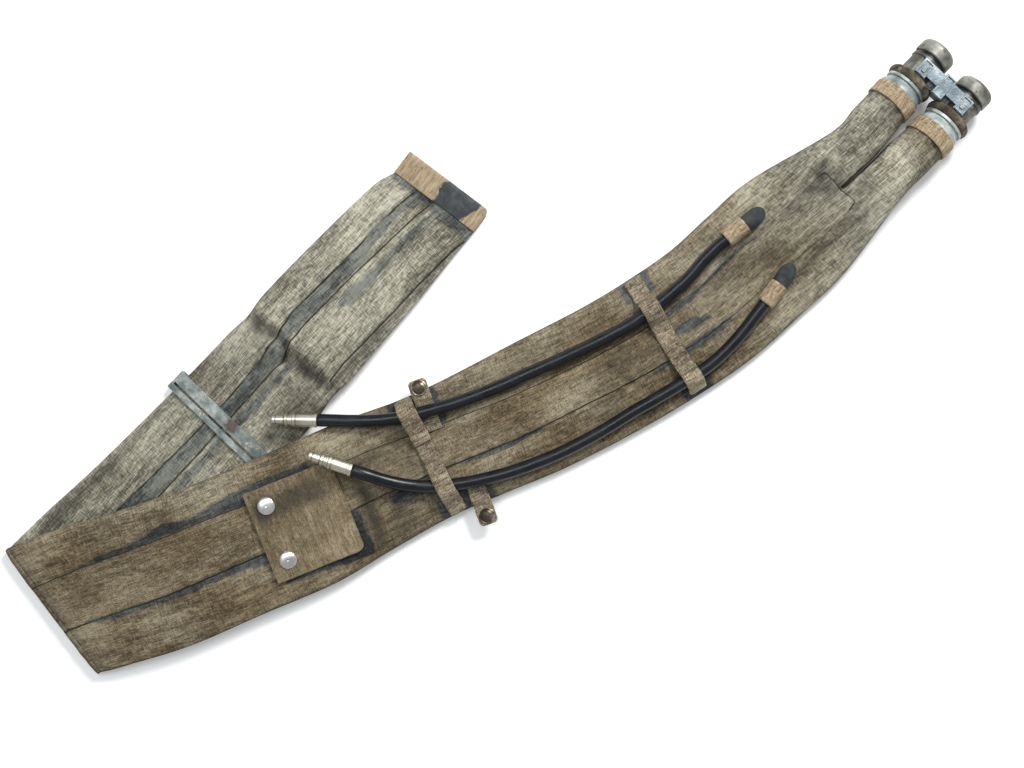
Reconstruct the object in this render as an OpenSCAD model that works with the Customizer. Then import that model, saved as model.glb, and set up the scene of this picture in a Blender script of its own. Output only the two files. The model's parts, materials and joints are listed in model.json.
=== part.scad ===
// Twin-chamber inflatable life belt, laid flat and folded once, with two gas-cartridge
// inflators side by side at one end and two oral inflation hoses held by cloth keepers.
// Millimetres, +Z up. The belt rests on z = 0 and the origin is under the middle of its box.
// "upper" and "lower" name the two sides of the belt as seen from above, +Y being upper.

/* [Belt] */
// Flat width of the twin-chamber belt
belt_w = 127; // [120:1:132]
// Thickness of the cloth straps, tabs and flap
cloth_t = 1.4; // [1.0:0.1:1.6]
// Width of the keeper straps and tabs
strap_w = 16; // [12:1:18]

/* [Hoses] */
// Outer diameter of the oral inflation hoses
hose_d = 10.6; // [9:0.1:11]
// Outer diameter of the cloth-wrapped sleeves that the hoses come out of
sleeve_d = 15.4; // [14:0.1:16]

/* [Inflator] */
// Distance between the axes of the two inflators
pitch = 44; // [43:0.5:46]
// Radius of the coupling rings, which the inflator end rests on
ring_r = 20.5; // [20:0.1:21]
// Outer radius of the barrels
barrel_r = 14.5; // [14:0.1:15]
// Outer radius of the screw caps
cap_r = 16; // [15:0.1:17]
// How far the squeeze plate and the firing pins travel
squeeze_travel = 3; // [2:0.1:3]

/* [Hidden] */
// Puts the middle of the whole part's box over the origin
box_shift = [4.996, 1.305, 0];

upper = 1;
lower = -1;
eps = 0.01;
$fn = 64;

canvas = "#6b5a40";
canvas_tan = "#a5835a";
black_rubber = "#1b1d20";
zinc = "#8d989b";
gunmetal = "#55534c";
nickel = "#cfcab8";
steel = "#a9acae";
alloy = "#b4bcc6";
corroded = "#64543c";

// Cross-cuts of the front run, from the fold to where the two chambers part:
// [x, y, direction of the cut, width as a share of belt_w, z at the upper edge,
//  z at the lower edge, thickness, half the gap between the chambers]
front_cuts = [
    [-376, -213, 127, 1.03, 8.6, 8.6, 5, 0.1],
    [-341, -201, 116, 1.01, 12.8, 12.4, 7.4, 0.1],
    [-283, -183, 112, 1.00, 17, 14, 9, 0.1],
    [-223, -159, 113, 0.97, 19.4, 14, 9.6, 0.1],
    [-162, -133, 113, 0.97, 18.8, 12, 9.8, 0.1],
    [-113, -108, 113, 0.92, 11.5, 7.8, 11.4, 0.1],
    [-63, -85, 113, 0.85, 6.7, 6.7, 12.2, 0.1],
    [-19, -65, 114, 0.86, 6.6, 6.6, 13, 0.1],
    [34, -40, 114, 0.90, 6.6, 6.6, 13, 0.1],
    [96, -8, 115, 0.90, 6.6, 6.6, 13, 0.1],
    [144, 21, 120, 0.90, 6.8, 6.8, 13.4, 0.1],
    [181, 47, 128, 0.90, 7.2, 7.2, 14, 0.1],
    [215, 78, 134, 0.90, 8, 8, 15, 0.2],
    [251, 111, 136, 0.88, 10, 10, 19, 0.5]
];
// Cross-cuts of the tail run, from the fold to the bound end
tail_cuts = [
    [-375.96, -212.97, 127, 1.03, 2.55, 2.55, 5, 0.1],
    [-335, -170, 136, 0.98, 4.1, 4.1, 7.8, 0.1],
    [-302, -135, 135, 0.92, 5.2, 5.2, 9.8, 0.1],
    [-267, -96, 136, 0.87, 4.2, 4.2, 5.4, 0.1],
    [-245, -72, 136, 0.845, 4.2, 4.2, 5.4, 0.1],
    [-219, -45, 136, 0.835, 4.2, 4.2, 5.4, 0.1],
    [-194, -18, 136, 0.82, 7.2, 7.2, 11.4, 0.1],
    [-164, 15, 136, 0.81, 12.5, 12.5, 14, 0.1],
    [-133, 50, 135, 0.79, 9.5, 9.5, 14.5, 0.1],
    [-101, 85, 135, 0.76, 7, 7, 13.6, 0.1],
    [-72, 117, 138, 0.71, 5.4, 5.4, 10.5, 0.1],
    [-55.5, 132, 143, 0.66, 3.6, 3.6, 7, 0.1]
];
front_step = 3;   // rings between two cross-cuts of the front run
tail_step = 3;    // rings between two cross-cuts of the tail run
front_corner = 2.6;   // squareness of a chamber's cross-section away from the inflators

// Fold line between the two runs
fold_at = [-376, -213, 5.55];
fold_angle = 127;
fold_len = belt_w * 1.03;
fold_inner_r = 0.55;
fold_outer_r = 5.5;

// Inflator frame: x along the barrels from the bands' inner edge, y across, z from the axes
inflator_at = [339, 194.5, ring_r];
inflator_angle = 46;
chamber_end_r = 18.5;
neck_r = 16.6;
bore_r = 10.2;
x_tail_end = -40;      // rear end of the cartridges
x_neck_in = -22;
x_band = 13;           // outer edge of the bands
x_neck = 23;           // coupling face between neck and barrel
x_shoulder = 31;
x_groove = 49.5;
x_cap = 52.5;
x_mouth = 61;
x_end = 66;
mouth_r = 12.6;
run_gap = 0.08;        // radial clearance of turning and sliding pieces
thread_gap = 0.5;      // radial clearance of the caps' threads
flat_z = 12.5;         // height of the milled flats on the barrels
plate_z = flat_z + squeeze_travel + 0.3;
plate_t = 2.4;
border_h = 1;          // height of the raised borders on the plate's panels
leg_x = 40;            // inner face of the plate's legs
leg_len = 3;
leg_w = 6;
leg_tip_z = 5.2;
pin_r = 2;
collar_r = 6;
cone_x = leg_x + leg_len + leg_tip_z - pin_r - 0.15;   // where the 45 degree cone meets the rod
post_r = 3;
post_x = 38.8;         // the squeeze plate's post, in the middle between the barrels
block_top = 11.5;
screw_xs = [34.5, 45];
screw_y = 9.5;

// Oral valves, each in its own frame: x from the hose's end towards the mouth
valve_upper_at = [-152.7, -52.4, 20.3];
valve_upper_angle = 179;
valve_lower_at = [-122.6, -93.4, 29.4];
valve_lower_angle = 161.5;
v_body = 20.5;
v_spigot = 24.2;
v_end = 37.6;
v_travel = 2.8;        // how far a mouthpiece presses in
v_tip = v_spigot + v_travel + 0.6;
tip_r = 4.1;           // radius of the mouthpieces' tips
spigot_r = 4.2;
valve_lead = 12;        // straight length of hose behind each valve

// Free-lying hoses: hand-picked points along their centre lines, from sleeve to valve.
hose_upper_pts = [
    [204, 110.5, 24], [192, 101, 24], [182, 93, 23.6], [170, 81, 22.4], [157, 66, 21.4],
    [143, 53.5, 20.6], [128, 41, 20.4], [111, 29, 20.4], [92, 18.5, 20], [72, 8.5, 19.6],
    [47, -3, 19.4], [21, -14.5, 19.4], [1, -23.5, 19.4], [-19, -31.5, 19.8], [-39, -38.5, 20.2],
    [-60, -44.5, 20.4], [-77, -49, 20.4], [-94, -51.6, 20.5], [-110, -52.8, 20.7], [-125, -53, 20.6],
    valve_upper_at - valve_lead * direction_of(valve_upper_angle), valve_upper_at
];
hose_lower_pts = [
    [233, 61, 24.4], [223.5, 48.5, 24.4], [215, 37.3, 24], [205, 24, 22.8], [193, 10, 21.4],
    [180, -2.5, 20.6], [166, -13, 20.4], [153, -21, 20.4], [133, -33, 20], [112, -45, 19.6],
    [92, -57.5, 19.4], [72, -69, 19.4], [50, -80, 19.4], [28, -89, 19.6], [6, -96.5, 20],
    [-20, -103, 20.4], [-42, -106.5, 20.4], [-63, -107.6, 20.9], [-80, -106, 22.8], [-96, -102.2, 25.8],
    valve_lower_at - valve_lead * direction_of(valve_lower_angle), valve_lower_at
];
hose_sides = 8;

// Keepers, each in its own frame: x along the strap, y across it, z up from the floor
keeper_left_at = [-82.5, -36];
keeper_left_angle = -62.9;
keeper_left_len = 106;
keeper_left_hoses = [14.3, 79.4];
keeper_left_ends = [10.6, 10.4];   // height of the underside at the two ends
keeper_left_slack = [2, 4];  // extra half-width of the arches, as the hoses pass at a slant
keeper_lap = [31, 40];       // stretch where the short piece lies on the long one
keeper_right_at = [110.5, 66];
keeper_right_angle = -58.7;
keeper_right_len = 109;
keeper_right_hoses = [30.7, 96.4];
keeper_right_ends = [13.3, 11.6];
keeper_right_slack = [1.5, 0.6];
strap_top = 13.5;            // height of the straps' underside in the middle of each chamber
hose_z = 20.4;               // height of the hoses' centre lines on the belt

// Tabs, each in its own frame: x from the anchor's inner end outwards
tab_upper_at = [-55.6, -61];
tab_upper_angle = 109.5;
tab_upper_anchor = 23.8;     // length that is cemented down
tab_lower_at = [-24, -97.8];
tab_lower_angle = -69.4;
tab_lower_anchor = 20;
tab_z = 13.4;
tab_len = 45;                // whole length, with the cemented stretch
tab_snap_x = 37.6;
tab_cap_r = 6.8;

// Snap flap, in its own frame: x along the belt from the free edge, y across
flap_at = [-214.2, -114.3, 25.2];
flap_angle = 21.8;
flap_tilt = [2.6, 2.6];
flap_size = [78, 80.5];
flap_hinge_x = 58;
flap_corner_r = 6;
snap_x = 15;
snap_inset = 16;
snap_cap_r = 7.5;
stud_r = 3.2;

// Slide buckle on the tail, in its own frame: x along the tail, y across it
buckle_at = [-232, -58.5];
buckle_angle = 46;
buckle_in = [114, 6];       // clear width and height for the belt
buckle_t = 1.2;
buckle_wall = 2.2;
buckle_plate_w = 10.5;
buckle_gap = 2.2;
buckle_bar_w = 5;
buckle_rise = 0.6;     // the bar and the plate's ridge stand this much higher

// Bound end of the tail: its outline runs along the last cross-cut
binding_at = [-55.5, 132];
binding_angle = 53;
binding_size = [22, 84];
binding_t = 8;

// ---------- functions ----------
function unit2(angle) = [cos(angle), sin(angle)];
function direction_of(angle) = [cos(angle), sin(angle), 0];
function power_of(v, e) = sign(v) * pow(abs(v), e);
function blend4(a, b, c, d, t) =
    0.5 * (2 * b + (c - a) * t + (2 * a - 5 * b + 4 * c - d) * t * t + (3 * b - a - 3 * c + d) * t * t * t);
// A smooth curve through the list P, at u counted in its points
function along(P, u) =
    let (n = len(P) - 1, i = min(floor(u), n - 1))
    blend4(P[max(i - 1, 0)], P[i], P[i + 1], P[min(i + 2, n)], u - i);
// One ring of a chamber at a cross-cut: half of the belt's width, as a rounded oblong
function chamber_ring(cut, side, corner) =
    let (
        half = cut[3] * belt_w / 2,
        across = unit2(cut[2]) * side,
        mid = (half + cut[7]) / 2,
        reach = (half - cut[7]) / 2,
        z_mid = (cut[4] + cut[5]) / 2,
        z_edge = side > 0 ? cut[4] : cut[5],
        slope = (z_edge - z_mid) / half
    )
    [for (k = [0 : 15])
        let (
            c = power_of(cos(k * 22.5), 2 / corner),
            s = power_of(sin(k * 22.5), 2 / corner),
            d = mid + reach * c
        )
        [cut[0] + across[0] * d, cut[1] + across[1] * d, z_mid + slope * d + s * cut[6] / 2]];
// The round end of a front chamber, on the inflator's own axis
function neck_cut(x, gap) =
    let (p = [inflator_at[0], inflator_at[1]] + unit2(inflator_angle) * x)
    [p[0], p[1], inflator_angle + 90, (pitch + 2 * chamber_end_r) / belt_w,
        ring_r, ring_r, 2 * chamber_end_r, gap];
function reversed(P) = [for (i = [len(P) - 1 : -1 : 0]) P[i]];
// Unit normal of a route near point i, level with the floor
function level_normal(P, i) =
    let (a = P[max(i - 1, 0)], b = P[min(i + 1, len(P) - 1)], d = [b[0] - a[0], b[1] - a[1]])
    [-d[1], d[0], 0] / norm(d);
function direction(P, i) =
    let (a = P[max(i - 1, 0)], b = P[min(i + 1, len(P) - 1)])
    (b - a) / norm(b - a);

// ---------- shared shapes ----------
// A closed solid through rings of equal count
module skin(rings) {
    count = len(rings[0]);
    last = len(rings) - 1;
    points = [for (r = rings) each r];
    sides = [for (i = [0 : last - 1], k = [0 : count - 1])
        let (a = i * count + k, b = i * count + (k + 1) % count)
        each [[a, b, b + count], [a, b + count, a + count]]];
    first_end = [[for (k = [count - 1 : -1 : 0]) k]];
    last_end = [[for (k = [0 : count - 1]) last * count + k]];
    polyhedron(points = points, faces = concat(sides, first_end, last_end), convexity = 6);
}

// A round tube of sides flats along hand-picked points
module sweep_round(P, d, sides) {
    rings = [for (i = [0 : len(P) - 1])
        let (n = level_normal(P, i), b = cross(direction(P, i), n))
        [for (k = [0 : sides - 1])
            P[i] + (n * cos(360 * k / sides) + b * sin(360 * k / sides)) * d / 2]];
    skin(rings);
}

module coil(mean_r, wire_r, length, turns) {
    steps = round(turns * 12);
    rise = length - 2 * wire_r;
    rings = [for (i = [0 : steps])
        let (a = 360 * turns * i / steps, x = wire_r + rise * i / steps)
        [for (k = [0 : 5])
            let (r = mean_r + wire_r * cos(60 * k))
            [x + wire_r * sin(60 * k), r * cos(a), r * sin(a)]]];
    skin(rings);
}

// A revolved solid about the x axis, from an outline of [x, radius] points
module lathe(outline) {
    rotate([0, 90, 0])
        rotate_extrude()
            polygon([for (p = outline) [p[1], p[0]]]);
}

module x_cylinder(r, x0, x1) {
    translate([x0, 0, 0])
        rotate([0, 90, 0])
            cylinder(r = r, h = x1 - x0);
}

module in_inflator(side) {
    translate(inflator_at)
        rotate([0, 0, inflator_angle])
            translate([0, side * pitch / 2, 0])
                children();
}

module in_valve(side) {
    translate(side > 0 ? valve_upper_at : valve_lower_at)
        rotate([0, 0, side > 0 ? valve_upper_angle : valve_lower_angle])
            children();
}

module in_tab(side) {
    at = side > 0 ? tab_upper_at : tab_lower_at;
    translate([at[0], at[1], tab_z])
        rotate([0, 0, side > 0 ? tab_upper_angle : tab_lower_angle])
            children();
}

module in_flap() {
    translate(flap_at)
        rotate([0, 0, flap_angle])
            rotate([flap_tilt[0], flap_tilt[1], 0])
                children();
}

module placed() {
    translate(box_shift)
        children();
}

// ---------- belt ----------
module front_chamber(side) {
    cuts = concat(front_cuts, [neck_cut(-48, 2), neck_cut(-20, 3.5), neck_cut(x_band, 3.5)]);
    last = len(cuts) - 1;
    round_from = len(front_cuts) - 3;
    color(canvas)
        difference() {
            skin([for (i = [0 : last * front_step])
                let (
                    u = i / front_step,
                    t = min(1, max(0, (u - round_from) / (last - 1 - round_from)))
                )
                chamber_ring(along(cuts, u), side, front_corner + (2 - front_corner) * t)]);
            in_inflator(side) {
                x_cylinder(neck_r + 0.1, x_neck_in - 0.1, x_band + 1);
                x_cylinder(bore_r, x_tail_end - 1, x_neck_in + 1);
            }
        }
}

module tail_chamber(side) {
    last = len(tail_cuts) - 1;
    color(canvas)
        skin([for (i = [0 : last * tail_step])
            chamber_ring(along(tail_cuts, i / tail_step), side, front_corner)]);
}

module belt_fold() {
    color(canvas)
        translate(fold_at)
            rotate([0, 0, fold_angle])
                rotate([90, 0, 90])
                    linear_extrude(height = fold_len, center = true)
                        difference() {
                            circle(r = fold_outer_r);
                            circle(r = fold_inner_r);
                            translate([-fold_outer_r, 0])
                                square([2 * fold_outer_r, 4 * fold_outer_r], center = true);
                        }
}

module end_binding() {
    color(canvas_tan)
        translate([binding_at[0], binding_at[1], 0])
            rotate([0, 0, binding_angle])
                linear_extrude(height = binding_t)
                    binding_outline();
}

module binding_outline() {
    half = binding_size[1] / 2;
    corner = 5;
    polygon(concat(
        [[0, -half], [binding_size[0] - corner, -half]],
        [for (a = [-90 : 15 : 0]) [binding_size[0] - corner + corner * cos(a), corner - half + corner * sin(a)]],
        [[binding_size[0], half], [0, half]]));
}

module slide_buckle() {
    outer_w = buckle_in[0] + 2 * buckle_wall;
    length = buckle_plate_w + buckle_gap + buckle_bar_w;
    top = buckle_t + buckle_in[1];
    color(zinc)
        translate([buckle_at[0], buckle_at[1], 0])
            rotate([0, 0, buckle_angle]) {
                translate([-length / 2, -outer_w / 2, 0])
                    cube([length, outer_w, buckle_t]);
                for (s = [-1, 1])
                    translate([-length / 2, s > 0 ? outer_w / 2 - buckle_wall : -outer_w / 2, 0])
                        cube([length, buckle_wall, top + buckle_t]);
                translate([length / 2 - buckle_plate_w, -outer_w / 2, top])
                    cube([buckle_plate_w, outer_w, buckle_t]);
                translate([length / 2 - buckle_plate_w, -outer_w / 2 + 3, top + buckle_t - eps])
                    cube([3.2, outer_w - 6, buckle_rise + eps]);
                translate([-length / 2, -outer_w / 2, top])
                    cube([buckle_bar_w, outer_w, buckle_t + buckle_rise]);
            }
}

// ---------- snap flap ----------
module flap_holes() {
    for (y = [-snap_inset, snap_inset - flap_size[1]])
        translate([snap_x, y, -1])
            cylinder(r = 4.4, h = cloth_t + 2);
}

module snap_flap() {
    color(canvas)
        in_flap()
            difference() {
                translate([0, -flap_size[1], 0])
                    cube([flap_hinge_x, flap_size[1], cloth_t]);
                flap_holes();
            }
}

module flap_anchor() {
    x0 = flap_hinge_x + 0.2;
    r = flap_corner_r;
    color(canvas)
        in_flap()
            translate([0, -flap_size[1], 0])
                linear_extrude(height = cloth_t)
                    union() {
                        translate([x0, 0])
                            square([flap_size[0] - r - x0, flap_size[1]]);
                        translate([x0, r])
                            square([flap_size[0] - x0, flap_size[1] - 2 * r]);
                        for (y = [r, flap_size[1] - r])
                            translate([flap_size[0] - r, y])
                                circle(r = r);
                    }
}

module flap_snap_caps() {
    color(nickel)
        in_flap()
            for (y = [-snap_inset, snap_inset - flap_size[1]])
                translate([snap_x, y, 0])
                    rotate([0, -90, 0])
                        lathe([
                            [0, stud_r + 0.3], [0, 4.3], [cloth_t, 4.3], [cloth_t, snap_cap_r],
                            [cloth_t + 0.9, snap_cap_r], [cloth_t + 2, snap_cap_r - 1.6],
                            [cloth_t + 2.7, snap_cap_r - 3.6], [cloth_t + 3, 0],
                            [cloth_t + 1.6, 0], [cloth_t + 1.6, stud_r + 0.3]]);
}

module flap_snap_studs() {
    color(steel)
        in_flap()
            for (y = [-snap_inset, snap_inset - flap_size[1]])
                translate([snap_x, y, 0])
                    rotate([0, -90, 0])
                        lathe([[-1, 0], [-1, 6], [-0.3, 6], [-0.3, stud_r], [cloth_t + 1, stud_r], [cloth_t + 1.3, 0]]);
}

// ---------- keepers and tabs ----------
// The underside of a strap over two hoses: an arch over each and a sag between them
function arch(x, r, slack) =
    [for (a = [150 : -20 : 30]) [x + r * cos(a) + slack * sign(cos(a)), hose_z + r * sin(a)]];
function strap_line(hoses, slack, ends, length) =
    let (r = hose_d / 2 + 0.9)
    concat(
        [[0, ends[0]], [max(2.5, hoses[0] - r - slack[0] - 5), min(ends[0] + 2.4, strap_top + 0.6)]],
        arch(hoses[0], r, slack[0]),
        [[hoses[0] + r + slack[0] + 8, 17], [(hoses[0] + hoses[1]) / 2, strap_top + 1.2],
            [hoses[1] - r - slack[1] - 8, 17]],
        arch(hoses[1], r, slack[1]),
        [[min(length - 2.5, hoses[1] + r + slack[1] + 5), min(ends[1] + 2.4, strap_top + 0.6)],
            [length, ends[1]]]);
// A thick ribbon: the line below and the same line moved up by its thickness
function ribbon(line, t) =
    concat(line, reversed([for (i = [0 : len(line) - 1])
        let (
            a = line[max(i - 1, 0)], b = line[min(i + 1, len(line) - 1)],
            d = (b - a) / norm(b - a)
        )
        line[i] + [-d[1], d[0]] * t]));

module strap(at, angle, outline) {
    translate([at[0], at[1], 0])
        rotate([0, 0, angle])
            translate([0, strap_w / 2, 0])
                rotate([90, 0, 0])
                    linear_extrude(height = strap_w)
                        polygon(outline);
}

module keeper_right() {
    line = strap_line(keeper_right_hoses, keeper_right_slack, keeper_right_ends, keeper_right_len);
    color(canvas)
        strap(keeper_right_at, keeper_right_angle, ribbon(line, cloth_t));
}

module keeper_left_long() {
    whole = strap_line(keeper_left_hoses, keeper_left_slack, keeper_left_ends, keeper_left_len);
    line = [for (p = whole) if (p[0] > keeper_lap[0]) p];
    color(canvas)
        strap(keeper_left_at, keeper_left_angle, ribbon(concat([[keeper_lap[0], 16.2]], line), cloth_t));
}

module keeper_left_short() {
    whole = strap_line(keeper_left_hoses, keeper_left_slack, keeper_left_ends, keeper_left_len);
    line = [for (p = whole) if (p[0] < keeper_lap[0] - 6) p];
    lift = cloth_t + 0.3;
    color(canvas)
        strap(keeper_left_at, keeper_left_angle, ribbon(
            concat(line, [[keeper_lap[0], 16.6 + lift], [keeper_lap[1], 15.8 + lift]]), cloth_t));
}

function tab_split(side) = side > 0 ? tab_upper_anchor : tab_lower_anchor;

module tab_anchor(side) {
    color(canvas)
        in_tab(side)
            translate([0, -strap_w / 2, 0])
                cube([tab_split(side) - 0.2, strap_w, cloth_t]);
}

module tab(side) {
    corner = 4;
    color(canvas)
        in_tab(side)
            difference() {
                linear_extrude(height = cloth_t)
                    union() {
                        translate([tab_split(side), -strap_w / 2])
                            square([tab_len - corner - tab_split(side), strap_w]);
                        translate([tab_len - corner - eps, corner - strap_w / 2])
                            square([corner + eps, strap_w - 2 * corner]);
                        for (y = [corner - strap_w / 2, strap_w / 2 - corner])
                            translate([tab_len - corner, y])
                                circle(r = corner);
                    }
                translate([tab_snap_x, 0, -1])
                    cylinder(r = 2.4, h = cloth_t + 2);
            }
}

module tab_snap(side) {
    color(gunmetal)
        in_tab(side)
            translate([tab_snap_x, 0, 0])
                rotate([0, -90, 0])
                    lathe([
                        [-3, 0], [-3, stud_r], [-0.4, stud_r], [-0.4, 4.8], [0, 4.8], [0, 2.4],
                        [cloth_t, 2.4], [cloth_t, tab_cap_r], [cloth_t + 0.7, tab_cap_r], [cloth_t + 1, tab_cap_r - 0.6],
                        [cloth_t + 0.7, tab_cap_r - 1.4], [cloth_t + 1.6, tab_cap_r - 3], [cloth_t + 2, 0]]);
}

// ---------- hoses ----------
module hose(side) {
    color(black_rubber)
        sweep_round(side > 0 ? hose_upper_pts : hose_lower_pts, hose_d, hose_sides);
}

// Frame of a sleeve: x from its mouth back along the hose's first stretch
module in_sleeve(side) {
    P = side > 0 ? hose_upper_pts : hose_lower_pts;
    d = P[0] - P[1];
    translate(P[1])
        rotate([0, 0, atan2(d[1], d[0])])
            rotate([0, -atan2(d[2], norm([d[0], d[1]])), 0])
                children();
}

module hose_sleeve(side) {
    wall = (sleeve_d - hose_d) / 2 - 0.3;
    color(canvas_tan)
        in_sleeve(side)
            difference() {
                x_cylinder(sleeve_d / 2, -4.5, 15.5);
                x_cylinder(sleeve_d / 2 - wall, -5, 16);
            }
}

module nipple_patch(side) {
    color(black_rubber)
        in_sleeve(side)
            hull() {
                translate([15.7, 0, 0])
                    rotate([0, 90, 0])
                        cylinder(r = sleeve_d / 2 - 0.6, h = 1, $fn = 32);
                translate([30, 0, side > 0 ? -4.6 : -6.2])
                    scale([1, 1, 0.2])
                        sphere(r = 7, $fn = 32);
            }
}

// ---------- oral valves ----------
module valve_body(side) {
    color(nickel)
        in_valve(side)
            lathe([
                [0, 2.2], [0, 5.8], [0.4, 6.1], [2.4, 6.1], [2.7, 5.6], [16.8, 5.8], [17.1, 5.3], [17.8, 5.3], [18.1, 6.1],
                [v_body - 0.3, 6.1], [v_body, 5.8], [v_body, spigot_r], [v_spigot, spigot_r], [v_spigot, 2.9],
                [13.2, 2.9], [13.2, 4.8], [2.5, 4.8], [2.5, 2.2]]);
}

module valve_seat(side) {
    color(black_rubber)
        in_valve(side)
            lathe([[11.8, 3], [11.8, 4.7], [13.1, 4.7], [13.1, 3]]);
}

module valve_spring(side) {
    color(steel)
        in_valve(side)
            translate([2.6, 0, 0])
                coil(3.4, 0.4, 6.8, 5);
}

module mouthpiece(side) {
    stem_r = 2.9 - run_gap;
    color(nickel)
        in_valve(side)
            difference() {
                lathe([
                    [9.6, 0], [9.6, 4.3], [11.6, 4.3], [11.6, stem_r], [v_tip, stem_r], [v_tip, 3.6],
                    [v_tip + 0.5, tip_r], [v_end - 3.6, tip_r], [v_end - 3.4, tip_r - 0.6],
                    [v_end - 2.9, tip_r - 0.6], [v_end - 2.7, tip_r], [v_end - 0.4, tip_r],
                    [v_end, tip_r - 0.5], [v_end, 0]]);
                x_cylinder(1.5, 15, v_end + 1);
                translate([16, 0, 0])
                    cylinder(r = 0.9, h = 8, center = true);
            }
}

module lock_ring(side) {
    ribs = 20;
    x0 = v_body + 0.2;
    x1 = v_tip - 0.5;
    collar = x1 - 2.3;
    groove = 4.8;   // radius between the ring's two ridges
    mouth = 4.75;   // the ring's bore ahead of the spigot, which the tip presses into
    color(nickel)
        in_valve(side)
            difference() {
                lathe([
                    [x0, spigot_r + run_gap], [x0, 5.2], [x0 + 0.3, 5.5], [x0 + 1.5, 5.5], [x0 + 1.9, groove],
                    [collar - 0.5, groove], [collar, 5.8], [collar + 1.1, 5.8], [collar + 1.5, 5.2], [x1, 5.2],
                    [x1, mouth], [v_spigot + 0.2, mouth], [v_spigot + 0.2, spigot_r + run_gap]]);
                for (i = [0 : ribs - 1])
                    rotate([360 * i / ribs, 0, 0])
                        translate([collar - 0.1, 5.6, 0])
                            cube([1.3, 0.4, 0.45]);
            }
}

// ---------- inflator ----------
module neck(side) {
    color(zinc)
        in_inflator(side)
            lathe([
                [x_neck_in, bore_r], [x_neck_in, neck_r], [x_band + 0.1, neck_r], [x_band + 0.1, 19.2],
                [x_band + 2.4, 19.2], [x_neck - 4, 17.2], [x_neck - 2.6, 17.2], [x_neck - 2.2, 18.6],
                [x_neck, 18.6], [x_neck, bore_r]]);
}

module neck_band(side) {
    color(canvas_tan)
        in_inflator(side)
            lathe([
                [0, chamber_end_r + 0.1], [0, ring_r - 0.7], [0.8, ring_r - 0.1], [x_band - 0.8, ring_r - 0.1],
                [x_band, ring_r - 0.7], [x_band, chamber_end_r + 0.1]]);
}

module union_ring(side) {
    x0 = x_neck + 0.2;
    x1 = x_shoulder - 0.2;
    mid = (x0 + x1) / 2;
    color(corroded)
        in_inflator(side)
            lathe(concat(
                [[x1, 14 + run_gap], [x0, 14 + run_gap]],
                [for (a = [180 : -20 : 0]) [mid + (x1 - x0) / 2 * cos(a), ring_r - 2.6 + 2.6 * sin(a)]]));
}

module barrel(side) {
    color(gunmetal)
        in_inflator(side)
            difference() {
                lathe([
                    [x_neck, bore_r], [x_neck, 14], [x_shoulder, 14], [x_shoulder, barrel_r],
                    [x_groove - 2.6, barrel_r], [x_groove - 2.2, barrel_r + 0.9], [x_groove, barrel_r + 0.9],
                    [x_groove, bore_r]]);
                translate([x_shoulder - 0.1, -barrel_r, flat_z])
                    cube([x_groove - x_shoulder - 2.9, 2 * barrel_r, 5]);
                leg_slot();
                for (x = screw_xs)
                    translate([x, side * (screw_y - pitch / 2), 2])
                        cylinder(r = 1.2, h = 20);
            }
}

module leg_slot() {
    translate([leg_x - 0.4, -leg_w / 2 - 0.4, 1])
        cube([leg_len + 0.8, leg_w + 0.8, barrel_r + 5]);
}

// Plug in the barrel's end: it guides the firing pin and carries the cap's thread
module pin_guide(side) {
    flange_x = x_groove + 0.05;
    color(steel)
        in_inflator(side)
            difference() {
                lathe(concat(
                    [[x_shoulder + 1, 0], [x_shoulder + 1, bore_r - 0.02], [flange_x, bore_r - 0.02],
                        [flange_x, mouth_r]],
                    [for (i = [0 : 4], p = [[0, 0], [0.3, -0.5], [0.8, -0.5], [1.1, 0]])
                        [x_cap + 1 + 1.5 * i + p[0], mouth_r + p[1]]],
                    [[x_mouth, mouth_r], [x_mouth, 0]]));
                x_cylinder(pin_r + run_gap, x_shoulder, x_mouth + 1);
                x_cylinder(7, x_shoulder + 3, x_groove + 1);
                leg_slot();
            }
}

module firing_pin(side) {
    color(steel)
        in_inflator(side)
            lathe([
                [28.9, 0], [29.9, 0.8], [32.6, 0.8], [33.4, pin_r], [cone_x - collar_r + pin_r - 1.5, pin_r],
                [cone_x - collar_r + pin_r - 1.5, collar_r], [cone_x - collar_r + pin_r, collar_r],
                [cone_x, pin_r], [x_mouth - 6, pin_r], [x_mouth - 6, 0]]);
}

module pin_spring(side) {
    x0 = x_shoulder + 3.05;
    color(steel)
        in_inflator(side)
            translate([x0, 0, 0])
                coil(4.2, 0.42, cone_x - collar_r + pin_r - 1.55 - x0, 3.5);
}

module cartridge(side) {
    r = bore_r - 0.9;
    color(steel)
        in_inflator(side)
            difference() {
                lathe([
                    [x_tail_end, 0], [x_tail_end, r - 4], [x_tail_end + 1.2, r - 1.4], [x_tail_end + 4, r],
                    [14, r], [18.5, r - 1.8], [21.5, 4.4], [22.5, 3.7], [28.5, 3.7], [28.5, 0]]);
                x_cylinder(1.3, 24.3, 29);
            }
}

module cap_seal(side) {
    color(black_rubber)
        in_inflator(side)
            lathe([
                [x_groove + 0.2, mouth_r + run_gap], [x_groove + 0.2, 13.6], [x_groove + 0.8, 14.2],
                [x_cap - 0.8, 14.2], [x_cap - 0.2, 13.6], [x_cap - 0.2, mouth_r + run_gap]]);
}

module cap(side) {
    inner_end = x_mouth + 0.4;
    rim = 4.5;
    color(gunmetal)
        in_inflator(side)
            lathe(concat(
                [[inner_end, 0], [inner_end, mouth_r + thread_gap], [x_cap, mouth_r + thread_gap],
                    [x_cap, cap_r - 0.8], [x_cap + 0.8, cap_r]],
                [for (a = [90 : -15 : 15]) [x_end - rim - 0.8 + rim * cos(a), cap_r - rim + rim * sin(a)]],
                [[x_end - 0.3, cap_r - rim - 3], [x_end, 0]]));
}

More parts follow.
